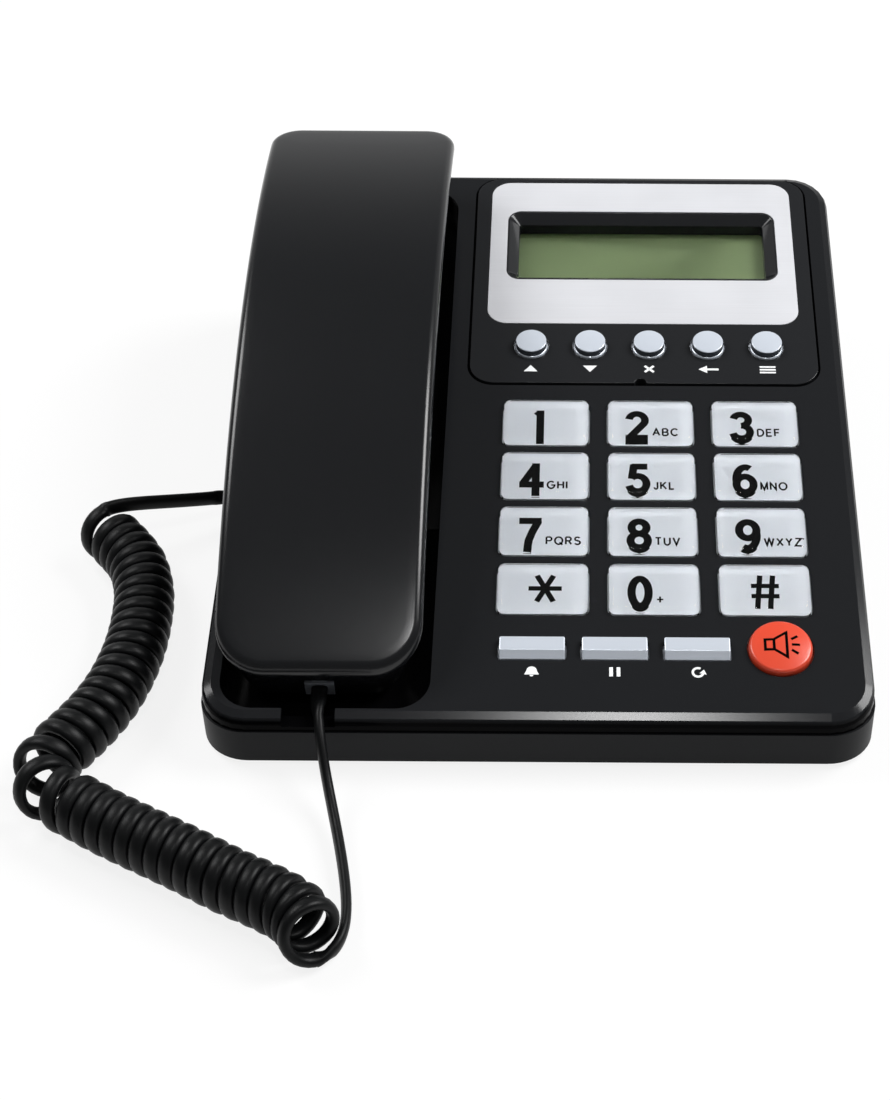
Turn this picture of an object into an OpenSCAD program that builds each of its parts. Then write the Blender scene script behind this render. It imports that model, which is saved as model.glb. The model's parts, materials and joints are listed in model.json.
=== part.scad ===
// Big button desk telephone: a sloping case with a cradle, a display panel, a key pad,
// a handset that lies in the cradle and a curly cord on the table beside it.
// Millimetres. X is to the right, Y to the back and Z up. The origin is on the table,
// under the middle of the case.
// Places on the keypad surface are given as x, u and n: x to the right, u up the slope
// from the front edge, and n square to the surface.

/* [Case] */
// Slope of the keypad surface, in degrees
slope = 9.5; // [8:0.5:11]
// Height of the rubber feet under the case
foot_h = 1.5; // [1:0.1:2.5]
// Height of the lower case's side wall
tray_h = 10.4; // [9.5:0.1:12]
// Height of the upper case's front wall, from the seam to the keypad surface
brow_h = 4.5; // [4:0.1:6]
// Corner radius of the case, seen from above
case_corner = 12.5; // [10:0.5:16]
// Rounding of the upper case's top edge
shoulder_r = 2.6; // [1.5:0.1:3.2]
// Wall of both case halves
wall = 2.2; // [1.8:0.1:2.6]
// Step by which the upper case stands back from the lower case
seam_step = 0.5; // [0.3:0.1:1]
// Gap between a tongue and the wall that it lies along
tongue_gap = 0.3; // [0.2:0.05:0.5]
// Height of the tongue that lines up the two halves
tongue_h = 1.6; // [1:0.1:2.5]
// Flat strip at the case's left, beside the cradle
cradle_rim = 5.4; // [4.8:0.1:8]
// Rib between the cradle and the display panel
centre_rib = 5.9; // [5:0.1:9]
// Flat strip at the case's right, beside the display panel
panel_rim = 8; // [6:0.1:12]
// Flat strip at the case's back, behind the display panel
back_rim = 3.6; // [3.4:0.1:8]

/* [Cradle] */
// Width of the handset's trough
cradle_w = 54; // [52:0.5:60]
// Front end of the trough, up the slope
cradle_front = 3.8; // [3.4:0.1:6]
// Corner radius of the trough
cradle_corner = 9; // [6:0.5:12]
// Depth of the pocket under the mouthpiece
mouth_depth = 9; // [8:0.1:10]
// Depth of the saddle under the grip
saddle_depth = 5; // [3:0.1:6]
// Depth of the pocket under the earpiece
ear_depth = 7; // [6:0.1:9]
// Width of the trough's opening in the back wall
neck_w = 46; // [40:0.5:48]
// Width of the cord notch in the front wall
notch_w = 13.7; // [10:0.1:18]
// Place of the cord notch, to the left of the trough's middle
notch_shift = 3.6; // [0:0.1:6]
// Height of the notch's floor above the seam
notch_floor = 1.6; // [1:0.1:2.5]

/* [Display panel] */
// Width of the panel
panel_w = 100.7; // [96:0.1:110]
// Length of the panel, up the slope
panel_l = 87; // [82:0.5:95]
// Corner radius of the panel
panel_corner = 7; // [4:0.5:10]
// Thickness of the panel
panel_t = 2.4; // [2:0.1:3]
// Height of the panel above the keypad surface
panel_rise = 0.4; // [0.2:0.1:0.8]
// Groove round the panel
panel_groove = 0.7; // [0.4:0.1:1]
// Width of the ledge that the panel lies on
ledge_w = 3; // [2:0.1:4]
// Thickness of the ledge under the panel
ledge_t = 2; // [1.2:0.1:3]
// Radius of the sound notch in the panel's front edge
sound_r = 1.8; // [1:0.1:2.5]
// Length of the metal plate on the panel
plate_l = 61.7; // [56:0.1:66]
// Panel left bare at each side of the plate
plate_side = 4.3; // [3:0.1:6]
// Panel left bare behind the plate
plate_back = 1.4; // [1:0.1:4]
// Corner radius of the plate
plate_corner = 6; // [3:0.5:8]
// Thickness of the plate
plate_t = 0.5; // [0.4:0.1:0.8]
// Width of the display window at the plate
window_w = 81.4; // [76:0.1:86]
// Length of the display window at the plate
window_l = 29.8; // [26:0.1:34]
// Distance from the plate's back edge to the window
window_back = 13.2; // [9:0.1:17]
// Corner radius of the display window
window_corner = 4; // [2:0.5:5]
// Depth of the window's bevel
bevel_d = 2.4; // [1.5:0.1:3]
// Width of the window's bevel
bevel_w = 3.4; // [2:0.1:4.5]
// Depth of the clear window below the panel's face
window_d = 6.2; // [4:0.1:7]
// Thickness of the clear window
lens_t = 1; // [0.8:0.1:1.6]
// Thickness of the display module
lcd_t = 3; // [2:0.1:4]
// Play of the display module in its frame
lcd_gap = 0.2; // [0.1:0.05:0.4]
// Wall of the frame that holds the display module
frame_wall = 1.8; // [1.2:0.1:2.5]

/* [Keys] */
// Width of a number key
key_w = 23.9; // [22:0.1:25]
// Length of a number key
key_l = 16.3; // [15:0.1:17.5]
// Gap between number keys, side to side
key_gap_x = 5.5; // [4:0.1:6]
// Gap between number keys, up the slope
key_gap_u = 3.5; // [3:0.1:5]
// Corner radius of a number key
key_corner = 1.8; // [1:0.1:3]
// Height of a number key above the surface
key_rise = 2.2; // [1.6:0.1:3.5]
// Bevel round a number key's top
key_bevel = 0.9; // [0.4:0.1:1.2]
// Wall of a clear key cap
cap_wall = 1; // [0.8:0.1:1.4]
// Thickness of a clear key cap's top
cap_top = 1.2; // [0.8:0.1:1.6]
// Play of a key base in its cap
cap_gap = 0.1; // [0.05:0.01:0.2]
// Gap between the number keys and the panel
key_panel_gap = 7.5; // [6:0.1:12]
// Keypad's middle, to the right of the panel's middle
key_shift = 1.5; // [-2:0.1:3]
// Travel of every key
key_travel = 1.5; // [1:0.1:2]
// Gap round a key in its opening
key_gap = 0.4; // [0.3:0.05:0.6]
// Overhang of a key's flange under the surface
flange_w = 0.9; // [0.7:0.05:1.2]
// Thickness of a key's flange
flange_t = 1.2; // [0.8:0.1:1.6]
// Gap between a flange and the wall above it
flange_gap = 0.3; // [0.2:0.05:0.5]
// Diameter of a menu key
menu_d = 9.5; // [8:0.1:11]
// Gap between menu keys
menu_gap = 7.6; // [6:0.1:9]
// Distance from the panel's front edge to the menu keys' middle
menu_front = 14.7; // [11:0.1:18]
// Height of a menu key above the panel
menu_rise = 2.2; // [1.5:0.1:3]
// Width of a bar key
bar_w = 17; // [14:0.1:18.5]
// Length of a bar key
bar_l = 6.2; // [5:0.1:8]
// Gap between bar keys
bar_gap = 4.4; // [4:0.1:6]
// Height of a bar key above the surface
bar_rise = 1.8; // [1:0.1:3]
// Drop of a bar key's sloping front
bar_facet = 1.2; // [0.6:0.1:1.6]
// Distance from the front edge to the bar keys
bar_front = 19.5; // [17:0.1:23]
// Middle bar key, to the left of the panel's middle
bar_shift = 9; // [6:0.1:11]
// Diameter of the loudspeaker key
speaker_key_d = 16.7; // [14:0.1:18]
// Height of the loudspeaker key above the surface
speaker_key_rise = 2.6; // [1.5:0.1:3.5]
// Gap between the loudspeaker key and the bar keys
speaker_key_side = 4.8; // [4:0.1:7]
// Gap between the loudspeaker key and the number keys
speaker_key_back = 2.6; // [2.4:0.1:5]

/* [Handset] */
// Length of the handset
hs_len = 195; // [188:0.5:198]
// Width of the handset at the mouthpiece
hs_w_mouth = 53; // [50:0.5:55]
// Width of the handset at the earpiece
hs_w_ear = 55.5; // [52:0.5:57]
// Gap between the trough's front end and the handset
hs_front_gap = 6; // [4:0.1:8]
// Place of the handset, to the left of the trough's middle
hs_shift = 1.4; // [0:0.1:1.8]
// Height of the handset's rim above the surface at the mouthpiece
hs_front_n = 5; // [4:0.1:8]
// Height of the handset's rim above the surface at the earpiece
hs_back_n = 17; // [14:0.1:22]
// Rise of the handset's arch
hs_rise = 17.5; // [14:0.1:20]
// Thickness of the back cover
cover_t = 3.3; // [3:0.1:4.5]
// Rounding of the back cover's edge
cover_edge = 2.4; // [1.5:0.1:2.6]
// Corner radius at the mouthpiece, seen from above
hs_corner_mouth = 13; // [9:0.5:16]
// Corner radius at the earpiece, seen from above
hs_corner_ear = 9; // [6:0.5:13]
// Thickness of the grip below the rim
hs_grip = 15; // [13:0.1:17]
// Wall of the front shell
hs_wall = 2.2; // [1.8:0.1:2.8]
// Seam between the two handset shells
hs_seam = 0.2; // [0.15:0.05:0.4]
// Gap between the handset and the cradle's floor
rest_gap = 0.3; // [0.2:0.05:0.5]
// Lift of the handset out of the cradle
hs_lift = 80; // [60:1:100]
// Diameter of the receiver capsule
receiver_d = 33; // [28:0.5:35]
// Height of the receiver capsule
receiver_h = 8; // [6:0.5:10]
// Diameter of the microphone capsule
mic_d = 9.7; // [6:0.1:12]
// Height of the microphone capsule
mic_h = 5; // [3:0.5:6]

/* [Hook switch] */
// Width of the hook plunger
hook_w = 10; // [8:0.1:12]
// Length of the hook plunger, up the slope
hook_l = 8; // [6:0.1:9]
// Rise of the hook plunger when the handset is lifted
hook_rise = 4; // [3:0.1:5]
// Gap round the hook plunger
hook_gap = 0.4; // [0.3:0.05:0.6]
// Diameter of the hook spring
spring_d = 7; // [5:0.1:7.4]
// Wire of the hook spring
spring_wire = 0.8; // [0.6:0.1:1]
// Length of the pressed hook spring
spring_l = 12; // [10:0.5:14]
// Turns of the hook spring
spring_turns = 6; // [5:1:8]

/* [Inside] */
// Height of a silicone dome under a number key
dome_h = 2.4; // [2:0.1:3]
// Play left under a pressed key
dome_gap = 0.3; // [0.2:0.05:0.5]
// Diameter of a silicone dome
dome_d = 6; // [5:0.1:7]
// Thickness of the silicone mat
mat_t = 1; // [0.8:0.1:1.5]
// Thickness of the main board
board_t = 1.6; // [1:0.1:2]
// Diameter of the posts that carry the main board
post_d = 4; // [3:0.1:4]
// Diameter of the loudspeaker
speaker_d = 50; // [40:0.5:51]
// Height of the loudspeaker
speaker_h = 13; // [10:0.5:15]
// Diameter of a screw's shank
screw_d = 2.8; // [2.5:0.1:3]
// Diameter of a screw's head
screw_head_d = 5.4; // [5:0.1:6]
// Height of a screw's head
screw_head_h = 1.8; // [1.4:0.1:2.2]
// Length of a screw's shank
screw_l = 9; // [8:0.5:9.5]
// Play round a screw
screw_gap = 0.05; // [0.04:0.01:0.1]
// Diameter of a rubber foot
foot_d = 12; // [8:0.5:14]
// Depth of the pocket that a foot sits in
foot_pocket = 0.6; // [0.4:0.1:1]

/* [Jacks and cord] */
// Width of a handset plug
plug_w = 7.65; // [7.6:0.01:7.7]
// Height of a handset plug
plug_h = 6; // [5.6:0.1:6.2]
// Length of a handset plug
plug_l = 13; // [11:0.5:15]
// Length of the base plug that stands out of the case
plug_out = 1.6; // [1:0.1:3]
// Play of a plug in its jack
plug_gap = 0.15; // [0.1:0.05:0.25]
// Depth of the pocket in the floor that the base jack sits in
jack_sink = 0.6; // [0.5:0.1:1]
// Wall of a jack's body
jack_wall = 1.1; // [0.9:0.1:1.3]
// Place of the base jack along the left side, from the case's middle
base_jack_y = -4.5; // [-9:0.5:0]
// Width of the line socket
line_w = 9.7; // [9.6:0.05:9.8]
// Height of the line socket
line_h = 6.7; // [6.6:0.05:6.8]
// Depth of the line socket
line_d = 11; // [10:0.5:12]
// Wall of the line socket's body
line_wall = 1.7; // [1.4:0.1:2.2]
// Place of the line socket on the back, from the case's middle
line_x = 45; // [35:1:50]
// Width of the flat cord
cord_w = 4.2; // [3.4:0.1:4.4]
// Thickness of the flat cord
cord_t = 2.5; // [2.2:0.1:2.8]
// Width of the cord along the coil
curl_w = 3; // [2.6:0.1:3.2]
// Thickness of the cord across the coil
curl_t = 2.8; // [2.4:0.1:3]
// Outside diameter of the coil
coil_d = 16.4; // [15:0.1:17]

/* [Hidden] */
$fn = 48;
key_names = ["1", "2", "3", "4", "5", "6", "7", "8", "9", "star", "0", "hash"];
menu_names = ["up", "down", "erase", "back", "menu"];
bar_names = ["ring", "pause", "redial"];

case_black = "#1d1f21";
tray_black = "#191a1c";
handset_black = "#232527";
cord_black = "#141516";
plate_silver = "#d6d8da";
key_silver = "#b9c0cb";

// The case's width, and the places of what lies side by side on it
case_w = cradle_rim + cradle_w + centre_rib + panel_w + panel_rim;
cradle_x = cradle_rim + cradle_w / 2 - case_w / 2;
panel_x = case_w / 2 - panel_rim - panel_w / 2;
key_x = panel_x + key_shift;
bar_x = panel_x - bar_shift;
notch_x = cradle_x - notch_shift;
hs_x = cradle_x - hs_shift;

// The keypad surface from front to back, and the case's depth
key_pitch_x = key_w + key_gap_x;
key_pitch_u = key_l + key_gap_u;
bar_u = bar_front + bar_l / 2;
bar_pitch = bar_w + bar_gap;
speaker_key_x = bar_x + bar_pitch + bar_w / 2 + speaker_key_side + speaker_key_d / 2;
speaker_key_u = bar_u + 0.6;
first_row_u = speaker_key_u + speaker_key_d / 2 + speaker_key_back + key_l / 2;
panel_front = first_row_u + 3 * key_pitch_u + key_l / 2 + key_panel_gap;
panel_u = panel_front + panel_l / 2;
slope_l = panel_front + panel_l + back_rim;
case_d = slope_l * cos(slope);

// Heights
seam_z = foot_h + tray_h;
front_z = seam_z + brow_h;
floor_z = foot_h + wall;
upper_w = case_w - 2 * seam_step;
upper_d = case_d - 2 * seam_step;
upper_corner = case_corner - seam_step;
far = 600;

// The display panel's layers
panel_n = panel_rise - panel_t;
plate_w = panel_w - 2 * plate_side;
plate_u = panel_front + panel_l - plate_back - plate_l / 2;
window_u = panel_front + panel_l - plate_back - window_back - window_l / 2;
lens_n = panel_rise - window_d;
glass_w = window_w - 2 * bevel_w;
glass_l = window_l - 2 * bevel_w;
lcd_w = glass_w + 5;
lcd_l = glass_l + 4;
menu_pitch = menu_d + menu_gap;
menu_u = panel_front + menu_front;

// The stack under the keys
flange_n = -wall - flange_gap - flange_t;
menu_flange_n = panel_n - flange_gap - flange_t;
mat_n = flange_n - key_travel - dome_gap - dome_h;
board_n = mat_n - mat_t;

// Screws, with the bosses that they pass through
screw_head_z = floor_z + 0.6;
boss_z = screw_head_z + 2.4;
boss_d = 7;
boss_side = case_w / 2 - 7.1;
boss_end = case_d / 2 - 18.5;
boss_rib_x = cradle_x + cradle_w / 2 + wall + boss_d / 2 + 1.4;

// The main board lies between the bosses; its posts stand clear of the keys
board_gap = 0.5;
board_margin = 9;
board_left = boss_rib_x + boss_d / 2 + board_gap;
board_right = boss_side - boss_d / 2 - board_gap;
board_front = bar_front - board_margin;
board_back = menu_u + board_margin + 1;
post_edge = 1;
post_left = board_left + post_d / 2 + post_edge / 5;
post_right = board_right - post_d / 2 - post_edge;
post_back = panel_front + 0.7;
posts = [
    [post_left, bar_front + board_margin + 1],
    [post_left, post_back],
    [post_right, post_back],
    [post_right, board_front + post_d / 2 + post_edge]
];
bosses = [[boss_side, -boss_end], [boss_rib_x, -boss_end], [boss_side, boss_end], [-boss_side, boss_end]];
foot_side = 17;
foot_end = 38;
feet = [for (sx = [-1, 1], sy = [-1, 1]) [sx * (case_w / 2 - foot_side), sy * (case_d / 2 - foot_end)]];

// The loudspeaker, the jacks and their seats
speaker_y = base_jack_y + 37;
jack_w = plug_w + 2 * plug_gap + 2 * jack_wall;
jack_h = plug_h + 2 * plug_gap + 2 * jack_wall;
jack_l = plug_l + 1;
base_jack_x = -case_w / 2 + wall + 0.1;
base_jack_z = floor_z - jack_sink + jack_h / 2;
line_body_w = line_w + 2 * line_wall;
line_body_h = line_h + 2 * line_wall;
line_body_d = line_d + line_wall;
line_z = seam_z + 3;
line_y = upper_d / 2 - wall;

// The handset's ends and the cradle's zones
hs_front = cradle_front + hs_front_gap;
hs_back = hs_front + hs_len;
cup_front = 7.5;
cup_side = 11;
cup_back = 16;
cup_lip = 1.2;
mouth_tilt = 0.12;
ear_tilt = 0.16;
mouth_len = 60;
ramp_l = 22;
ramp_lead = 3;
ramp_skim = 0.08;
ear_in = 118;
grip_in = 42;
grip_ease = 30;
mouth_end = hs_front + mouth_len;
ear_start = hs_front + ear_in;
cradle_back = hs_back - 5.5;
mouth_rest_u = hs_front + cup_front;
ear_rest_u = hs_back - cup_back;
hs_cavity_w = receiver_d + 4;
receiver_in = 38;
mic_in = 30;
hs_screw_ins = [62, 128];
receiver_u = hs_back - receiver_in;
mic_u = hs_front + mic_in;
hs_screws_u = [for (place = hs_screw_ins) hs_front + place];
hs_jack_n = -1.6;
hs_jack_u = hs_front + 7;
hs_plug_u = hs_front + 1.4;

// The hook plunger in the earpiece's pocket
hook_u = hs_back - 24;
hook_top = ear_n(hook_u + hook_l / 2) - rest_gap;
hook_flange_w = 1;
hook_flange_t = 1.5;
hook_flange_n = -ear_depth - wall - hook_rise - 0.3 - hook_flange_t;
hook_wall = 2;
hook_seat_n = hook_flange_n - spring_l - 0.4;

// The cord's route on the table. The coil's axis runs from the handset's lead to the base's
// lead, and the leads join the coil's two ends.
coil_r = coil_d / 2 - curl_t / 2;
coil_z = coil_d / 2 + 0.25;
curl_rings = 8;
coil_axis = [
    [-50.3, -165], [-55.2, -158.3], [-63, -153.2], [-73, -148], [-85, -141], [-96, -135], [-105, -130],
    [-113, -125], [-119, -121.5], [-122.5, -118.5], [-124, -115], [-124, -111.5],
    [-122, -107], [-118, -100.5], [-114, -93], [-111, -85], [-109, -76], [-108, -67],
    [-108, -57], [-109, -47], [-112, -37], [-116, -30.5], [-120, -25.5], [-124, -20.5]
];
// Curls counted at the coil's start, after its loose end, before and after its bend, before its
// last curl and at its end
coil_curls = [0, 1.5, 17, 20, 39.5, 40.5];
// Share of the axis at which each of those counts is reached
coil_shares = [0, 0.055, 0.395, 0.515, 0.966, 1];
handset_lead = [
    [-55.7, -99, 16.3], [-55.1, -104, 15.2], [-54.2, -108.5, 12], [-53.1, -113, 7.8],
    [-51.5, -119, 4.7], [-48.8, -129.5, 3], [-46.3, -141, 2.7], [-44.7, -150.5, 2.7],
    [-44.3, -157.5, 2.7]
];
base_lead = [[-115, -15, 13.8], [-107, -11.7, 11.6], [-99, -8, 9.4]];
// Straight run of a cord out of its plug
plug_run = 4;

function mix(a, b, t) = a + (b - a) * t;
function ease(t) = let(c = max(0, min(1, t))) c * c * (3 - 2 * c);
function surface_z(y) = front_z + (y + case_d / 2) * tan(slope);

// A point of the keypad surface's own frame, in the case's frame
function from_slope(p) = [
    p.x,
    p.y * cos(slope) - p.z * sin(slope) - case_d / 2,
    p.y * sin(slope) + p.z * cos(slope) + front_z
];

// The handset's rim, its half width and its underside, along u
function hs_share(u) = (u - hs_front) / hs_len;
function rim_n(u) = let(t = hs_share(u)) mix(hs_front_n, hs_back_n, t) + 4 * hs_rise * t * (1 - t);
function hs_half(u) = mix(hs_w_mouth, hs_w_ear, hs_share(u)) / 2;
function mouth_n(u) = rest_gap - mouth_depth + mouth_tilt * (u - mouth_rest_u);
function ear_n(u) = rest_gap - ear_depth + ear_tilt * (ear_rest_u - u);
function under_n(u) =
    let(a = ease((u - hs_front - grip_in) / grip_ease), b = ease((u - hs_front - ear_in) / grip_ease))
    mix(mix(mouth_n(u), rim_n(u) - hs_grip, a), ear_n(u), b);

// The right half of the handset's outline, drawn in by gs at its side, gf at the mouthpiece's
// end and gb at the earpiece's end
hs_corner_steps = 6;
hs_side_steps = 14;
function hs_outline(gs, gf, gb) =
    let(
        mouth_a = max(hs_corner_mouth - gs, 2),
        mouth_b = max(hs_corner_mouth - gf, 2),
        ear_a = max(hs_corner_ear - gs, 2),
        ear_b = max(hs_corner_ear - gb, 2),
        u0 = hs_front + gf + mouth_b,
        u1 = hs_back - gb - ear_b
    )
    concat(
        [for (i = [0:hs_corner_steps - 1])
            let(a = 90 * i / hs_corner_steps)
            [hs_half(u0) - gs - mouth_a * (1 - sin(a)), u0 - mouth_b * cos(a)]],
        [for (i = [0:hs_side_steps])
            let(u = mix(u0, u1, i / hs_side_steps))
            [hs_half(u) - gs, u]],
        [for (i = [1:hs_corner_steps])
            let(a = 90 * i / hs_corner_steps)
            [hs_half(u1) - gs - ear_a * (1 - cos(a)), u1 + ear_b * sin(a)]]
    );

// Rings of the back cover, at a height above the rim, and of the front shell, at a share of
// the way from the rim to the underside
function cover_ring(inset, h) = [for (p = hs_outline(inset, inset, inset)) [p.x, p.y, rim_n(p.y) + h]];
function shell_ring(gs, gf, gb, share) =
    [for (p = hs_outline(gs, gf, gb)) [p.x, p.y, mix(rim_n(p.y) - hs_seam, under_n(p.y), share)]];
function cup_ring(in, in_front, share) =
    shell_ring(mix(cup_lip, cup_side, in), mix(cup_lip, cup_front, in_front), mix(cup_lip, cup_back, in), share);

// A case outline seen from above, as points in turn
corner_steps = 6;
function case_outline(w, d, r) =
    [for (q = [0:3], i = [0:corner_steps])
        let(
            a = 90 * (q + i / corner_steps),
            sx = q == 0 || q == 3 ? 1 : -1,
            sy = q < 2 ? 1 : -1
        )
        [sx * (w / 2 - r) + r * cos(a), sy * (d / 2 - r) + r * sin(a)]];
function shoulder_ring(inset, drop) =
    [for (p = case_outline(upper_w - 2 * inset, upper_d - 2 * inset, upper_corner - inset))
        [p.x, p.y, surface_z(p.y) - drop]];

// A smooth curve through points, sampled at even shares between each pair
function curve_at(pts, i, t) =
    let(
        last = len(pts) - 1,
        p1 = pts[i],
        p2 = pts[i + 1],
        p0 = i > 0 ? pts[i - 1] : 2 * p1 - p2,
        p3 = i + 1 < last ? pts[i + 2] : 2 * p2 - p1
    )
    0.5 * (2 * p1 + (p2 - p0) * t + (2 * p0 - 5 * p1 + 4 * p2 - p3) * t * t
        + (3 * p1 - p0 - 3 * p2 + p3) * t * t * t);
function smooth_curve(pts, steps) = concat(
    [for (i = [0:len(pts) - 2], k = [0:steps - 1]) curve_at(pts, i, k / steps)],
    [pts[len(pts) - 1]]
);
function path_length(path) =
    let(steps = [for (i = [1:len(path) - 1]) norm(path[i] - path[i - 1])])
    steps * [for (i = steps) 1];
function unit(v) = v / norm(v);
function direction(path, i) = unit(path[min(i + 1, len(path) - 1)] - path[max(i - 1, 0)]);

// Section rings of a flat cord along a path, with an "up" for each point across its flat side
function cord_rings(path, ups, w, t, sides) =
    [for (i = [0:len(path) - 1])
        let(d = direction(path, i), side = unit(cross(d, ups[i])), top = cross(side, d))
        [for (k = [0:sides - 1])
            let(a = 360 * (k + 0.5) / sides)
            path[i] + side * (w / 2 * cos(a)) + top * (t / 2 * sin(a))]];

// The coil: places along its axis, found by length, and the cord wound round it
axis_curve = smooth_curve(coil_axis, 12);
axis_lengths = [for (i = 0, s = 0; i < len(axis_curve);
    s = s + (i + 1 < len(axis_curve) ? norm(axis_curve[i + 1] - axis_curve[i]) : 0), i = i + 1) s];
axis_l = axis_lengths[len(axis_lengths) - 1];
axis_x = [for (i = [0:len(axis_curve) - 1]) [axis_lengths[i], axis_curve[i].x]];
axis_y = [for (i = [0:len(axis_curve) - 1]) [axis_lengths[i], axis_curve[i].y]];
curl_share = [for (i = [0:len(coil_curls) - 1]) [coil_curls[i], coil_shares[i]]];
curl_count = coil_curls[len(coil_curls) - 1];
function axis_at(s) = [lookup(s, axis_x), lookup(s, axis_y), coil_z];
function axis_way(s) = unit(axis_at(min(s + 2, axis_l)) - axis_at(max(s - 2, 0)));
function curl_out(c) =
    let(way = axis_way(axis_l * lookup(c, curl_share)), a = 90 + 360 * c)
    cos(a) * [way.y, -way.x, 0] - sin(a) * [0, 0, 1];
function curl_at(c) = axis_at(axis_l * lookup(c, curl_share)) + coil_r * curl_out(c);
curls = [for (i = [0:curl_count * curl_rings]) i / curl_rings];
curl_path = [for (c = curls) curl_at(c)];
curl_ups = [for (c = curls) curl_out(c)];
coil_start_way = unit(curl_at(0) - curl_at(0.02));
coil_end_way = unit(curl_at(curl_count) - curl_at(curl_count - 0.02));
coil_path = concat(
    [curl_path[0] + curl_t * coil_start_way],
    curl_path,
    [curl_path[len(curl_path) - 1] + curl_t * coil_end_way]
);
coil_ups = concat([curl_ups[0]], curl_ups, [curl_ups[len(curl_ups) - 1]]);
coil_rings = cord_rings(coil_path, coil_ups, curl_w, curl_t, 6);
coil_gaps = [for (i = [0:len(coil_rings) - 1 - curl_rings - 2], k = [-2:2])
    let(a = coil_rings[i], b = coil_rings[i + curl_rings + k])
    min([for (p = a, q = b) norm(p - q)])];
echo(coil_least_gap = min(coil_gaps), coil_axis_length = axis_l, coil_cord_length = path_length(coil_path));

lead_start = coil_path[0];
lead_end = coil_path[len(coil_path) - 1];
handset_plug_end = from_slope([hs_x, hs_plug_u, hs_jack_n]);
handset_plug_run = from_slope([hs_x, hs_plug_u - plug_run, hs_jack_n]);
base_plug_end = [base_jack_x - wall - plug_out, base_jack_y, base_jack_z];
base_plug_run = base_plug_end - [plug_run, 0, 0];
lead_steps = 3;
handset_lead_path = concat(
    [handset_plug_end],
    smooth_curve(concat([handset_plug_run], handset_lead, [lead_start + curl_t * coil_start_way]), lead_steps),
    [lead_start]
);
base_lead_path = concat(
    [lead_end],
    smooth_curve(concat([lead_end + curl_t * coil_end_way], base_lead, [base_plug_run]), lead_steps),
    [base_plug_end]
);
// A lead turns on its edge between its ends
lead_roll = 80;
function edge_ups(path) =
    [for (i = [0:len(path) - 1])
        let(a = lead_roll * sin(180 * i / (len(path) - 1)), d = direction(path, i))
        cos(a) * [0, 0, 1] + sin(a) * unit(cross(d, [0, 0, 1]))];

module on_slope() {
    translate([0, -case_d / 2, front_z]) rotate([slope, 0, 0]) children();
}

module rounded(w, l, r) {
    square([w - 2 * r, l], center = true);
    square([w, l - 2 * r], center = true);
    for (sx = [-1, 1], sy = [-1, 1]) {
        translate([sx * (w / 2 - r), sy * (l / 2 - r)]) circle(r);
    }
}

module slab(w, l, r, n0, n1) {
    translate([0, 0, n0]) linear_extrude(n1 - n0) rounded(w, l, r);
}

// A closed solid through rings of points, from the lowest ring up
module loft(rings) {
    n = len(rings[0]);
    top = (len(rings) - 1) * n;
    polyhedron(
        points = [for (ring = rings) each ring],
        faces = concat(
            [[for (i = [0:n - 1]) i]],
            [for (j = [0:len(rings) - 2], i = [0:n - 1])
                let(a = j * n + i, b = j * n + (i + 1) % n)
                each [[a, a + n, b + n], [a, b + n, b]]],
            [[for (i = [n - 1:-1:0]) top + i]]
        )
    );
}

// A closed solid through half rings that are mirrored in x, with arched ends of level strips
module arched_loft(halves) {
    m = len(halves[0]);
    n = 2 * m;
    top = (len(halves) - 1) * n;
    polyhedron(
        points = [for (half = halves) each concat(half, [for (i = [m - 1:-1:0]) [-half[i].x, half[i].y, half[i].z]])],
        faces = concat(
            [for (i = [0:m - 2]) each [[i, i + 1, n - 2 - i], [i, n - 2 - i, n - 1 - i]]],
            [for (j = [0:len(halves) - 2], i = [0:n - 1])
                let(a = j * n + i, b = j * n + (i + 1) % n)
                each [[a, a + n, b + n], [a, b + n, b]]],
            [for (i = [0:m - 2])
                each [[top + i, top + n - 2 - i, top + i + 1], [top + i, top + n - 1 - i, top + n - 2 - i]]]
        )
    );
}

// A tube through section rings, closed by flat ends
module tube(rings) {
    n = len(rings[0]);
    top = (len(rings) - 1) * n;
    polyhedron(
        points = [for (ring = rings) each ring],
        faces = concat(
            [for (i = [1:n - 2]) [0, i + 1, i]],
            [for (j = [0:len(rings) - 2], i = [0:n - 1])
                let(a = j * n + i, b = j * n + (i + 1) % n)
                each [[a, b, b + n], [a, b + n, a + n]]],
            [for (i = [1:n - 2]) [top, top + i, top + i + 1]]
        )
    );
}

// The inside of the upper case: everything within its walls and under its top
module case_inside() {
    difference() {
        translate([0, 0, floor_z]) linear_extrude(far)
            rounded(upper_w - 2 * wall, upper_d - 2 * wall, upper_corner - wall);
        on_slope() translate([-far / 2, -far / 2, -wall]) cube(far);
    }
}

// The trough's outline on the surface, with its neck through the back wall
module cradle_outline(grow) {
    translate([cradle_x, (cradle_front + cradle_back) / 2])
        rounded(cradle_w + 2 * grow, cradle_back - cradle_front + 2 * grow, cradle_corner + grow);
    translate([cradle_x - neck_w / 2 - grow, cradle_back - cradle_corner])
        square([neck_w + 2 * grow, far / 4]);
}

// One zone of the trough, from u0 to u1, at its own depth
module cradle_zone(u0, u1, depth, grow) {
    translate([0, 0, -depth - grow]) linear_extrude(depth + grow + far / 8) intersection() {
        cradle_outline(grow);
        translate([cradle_x - far / 4, u0 - grow]) square([far / 2, u1 - u0 + 2 * grow]);
    }
}

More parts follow.
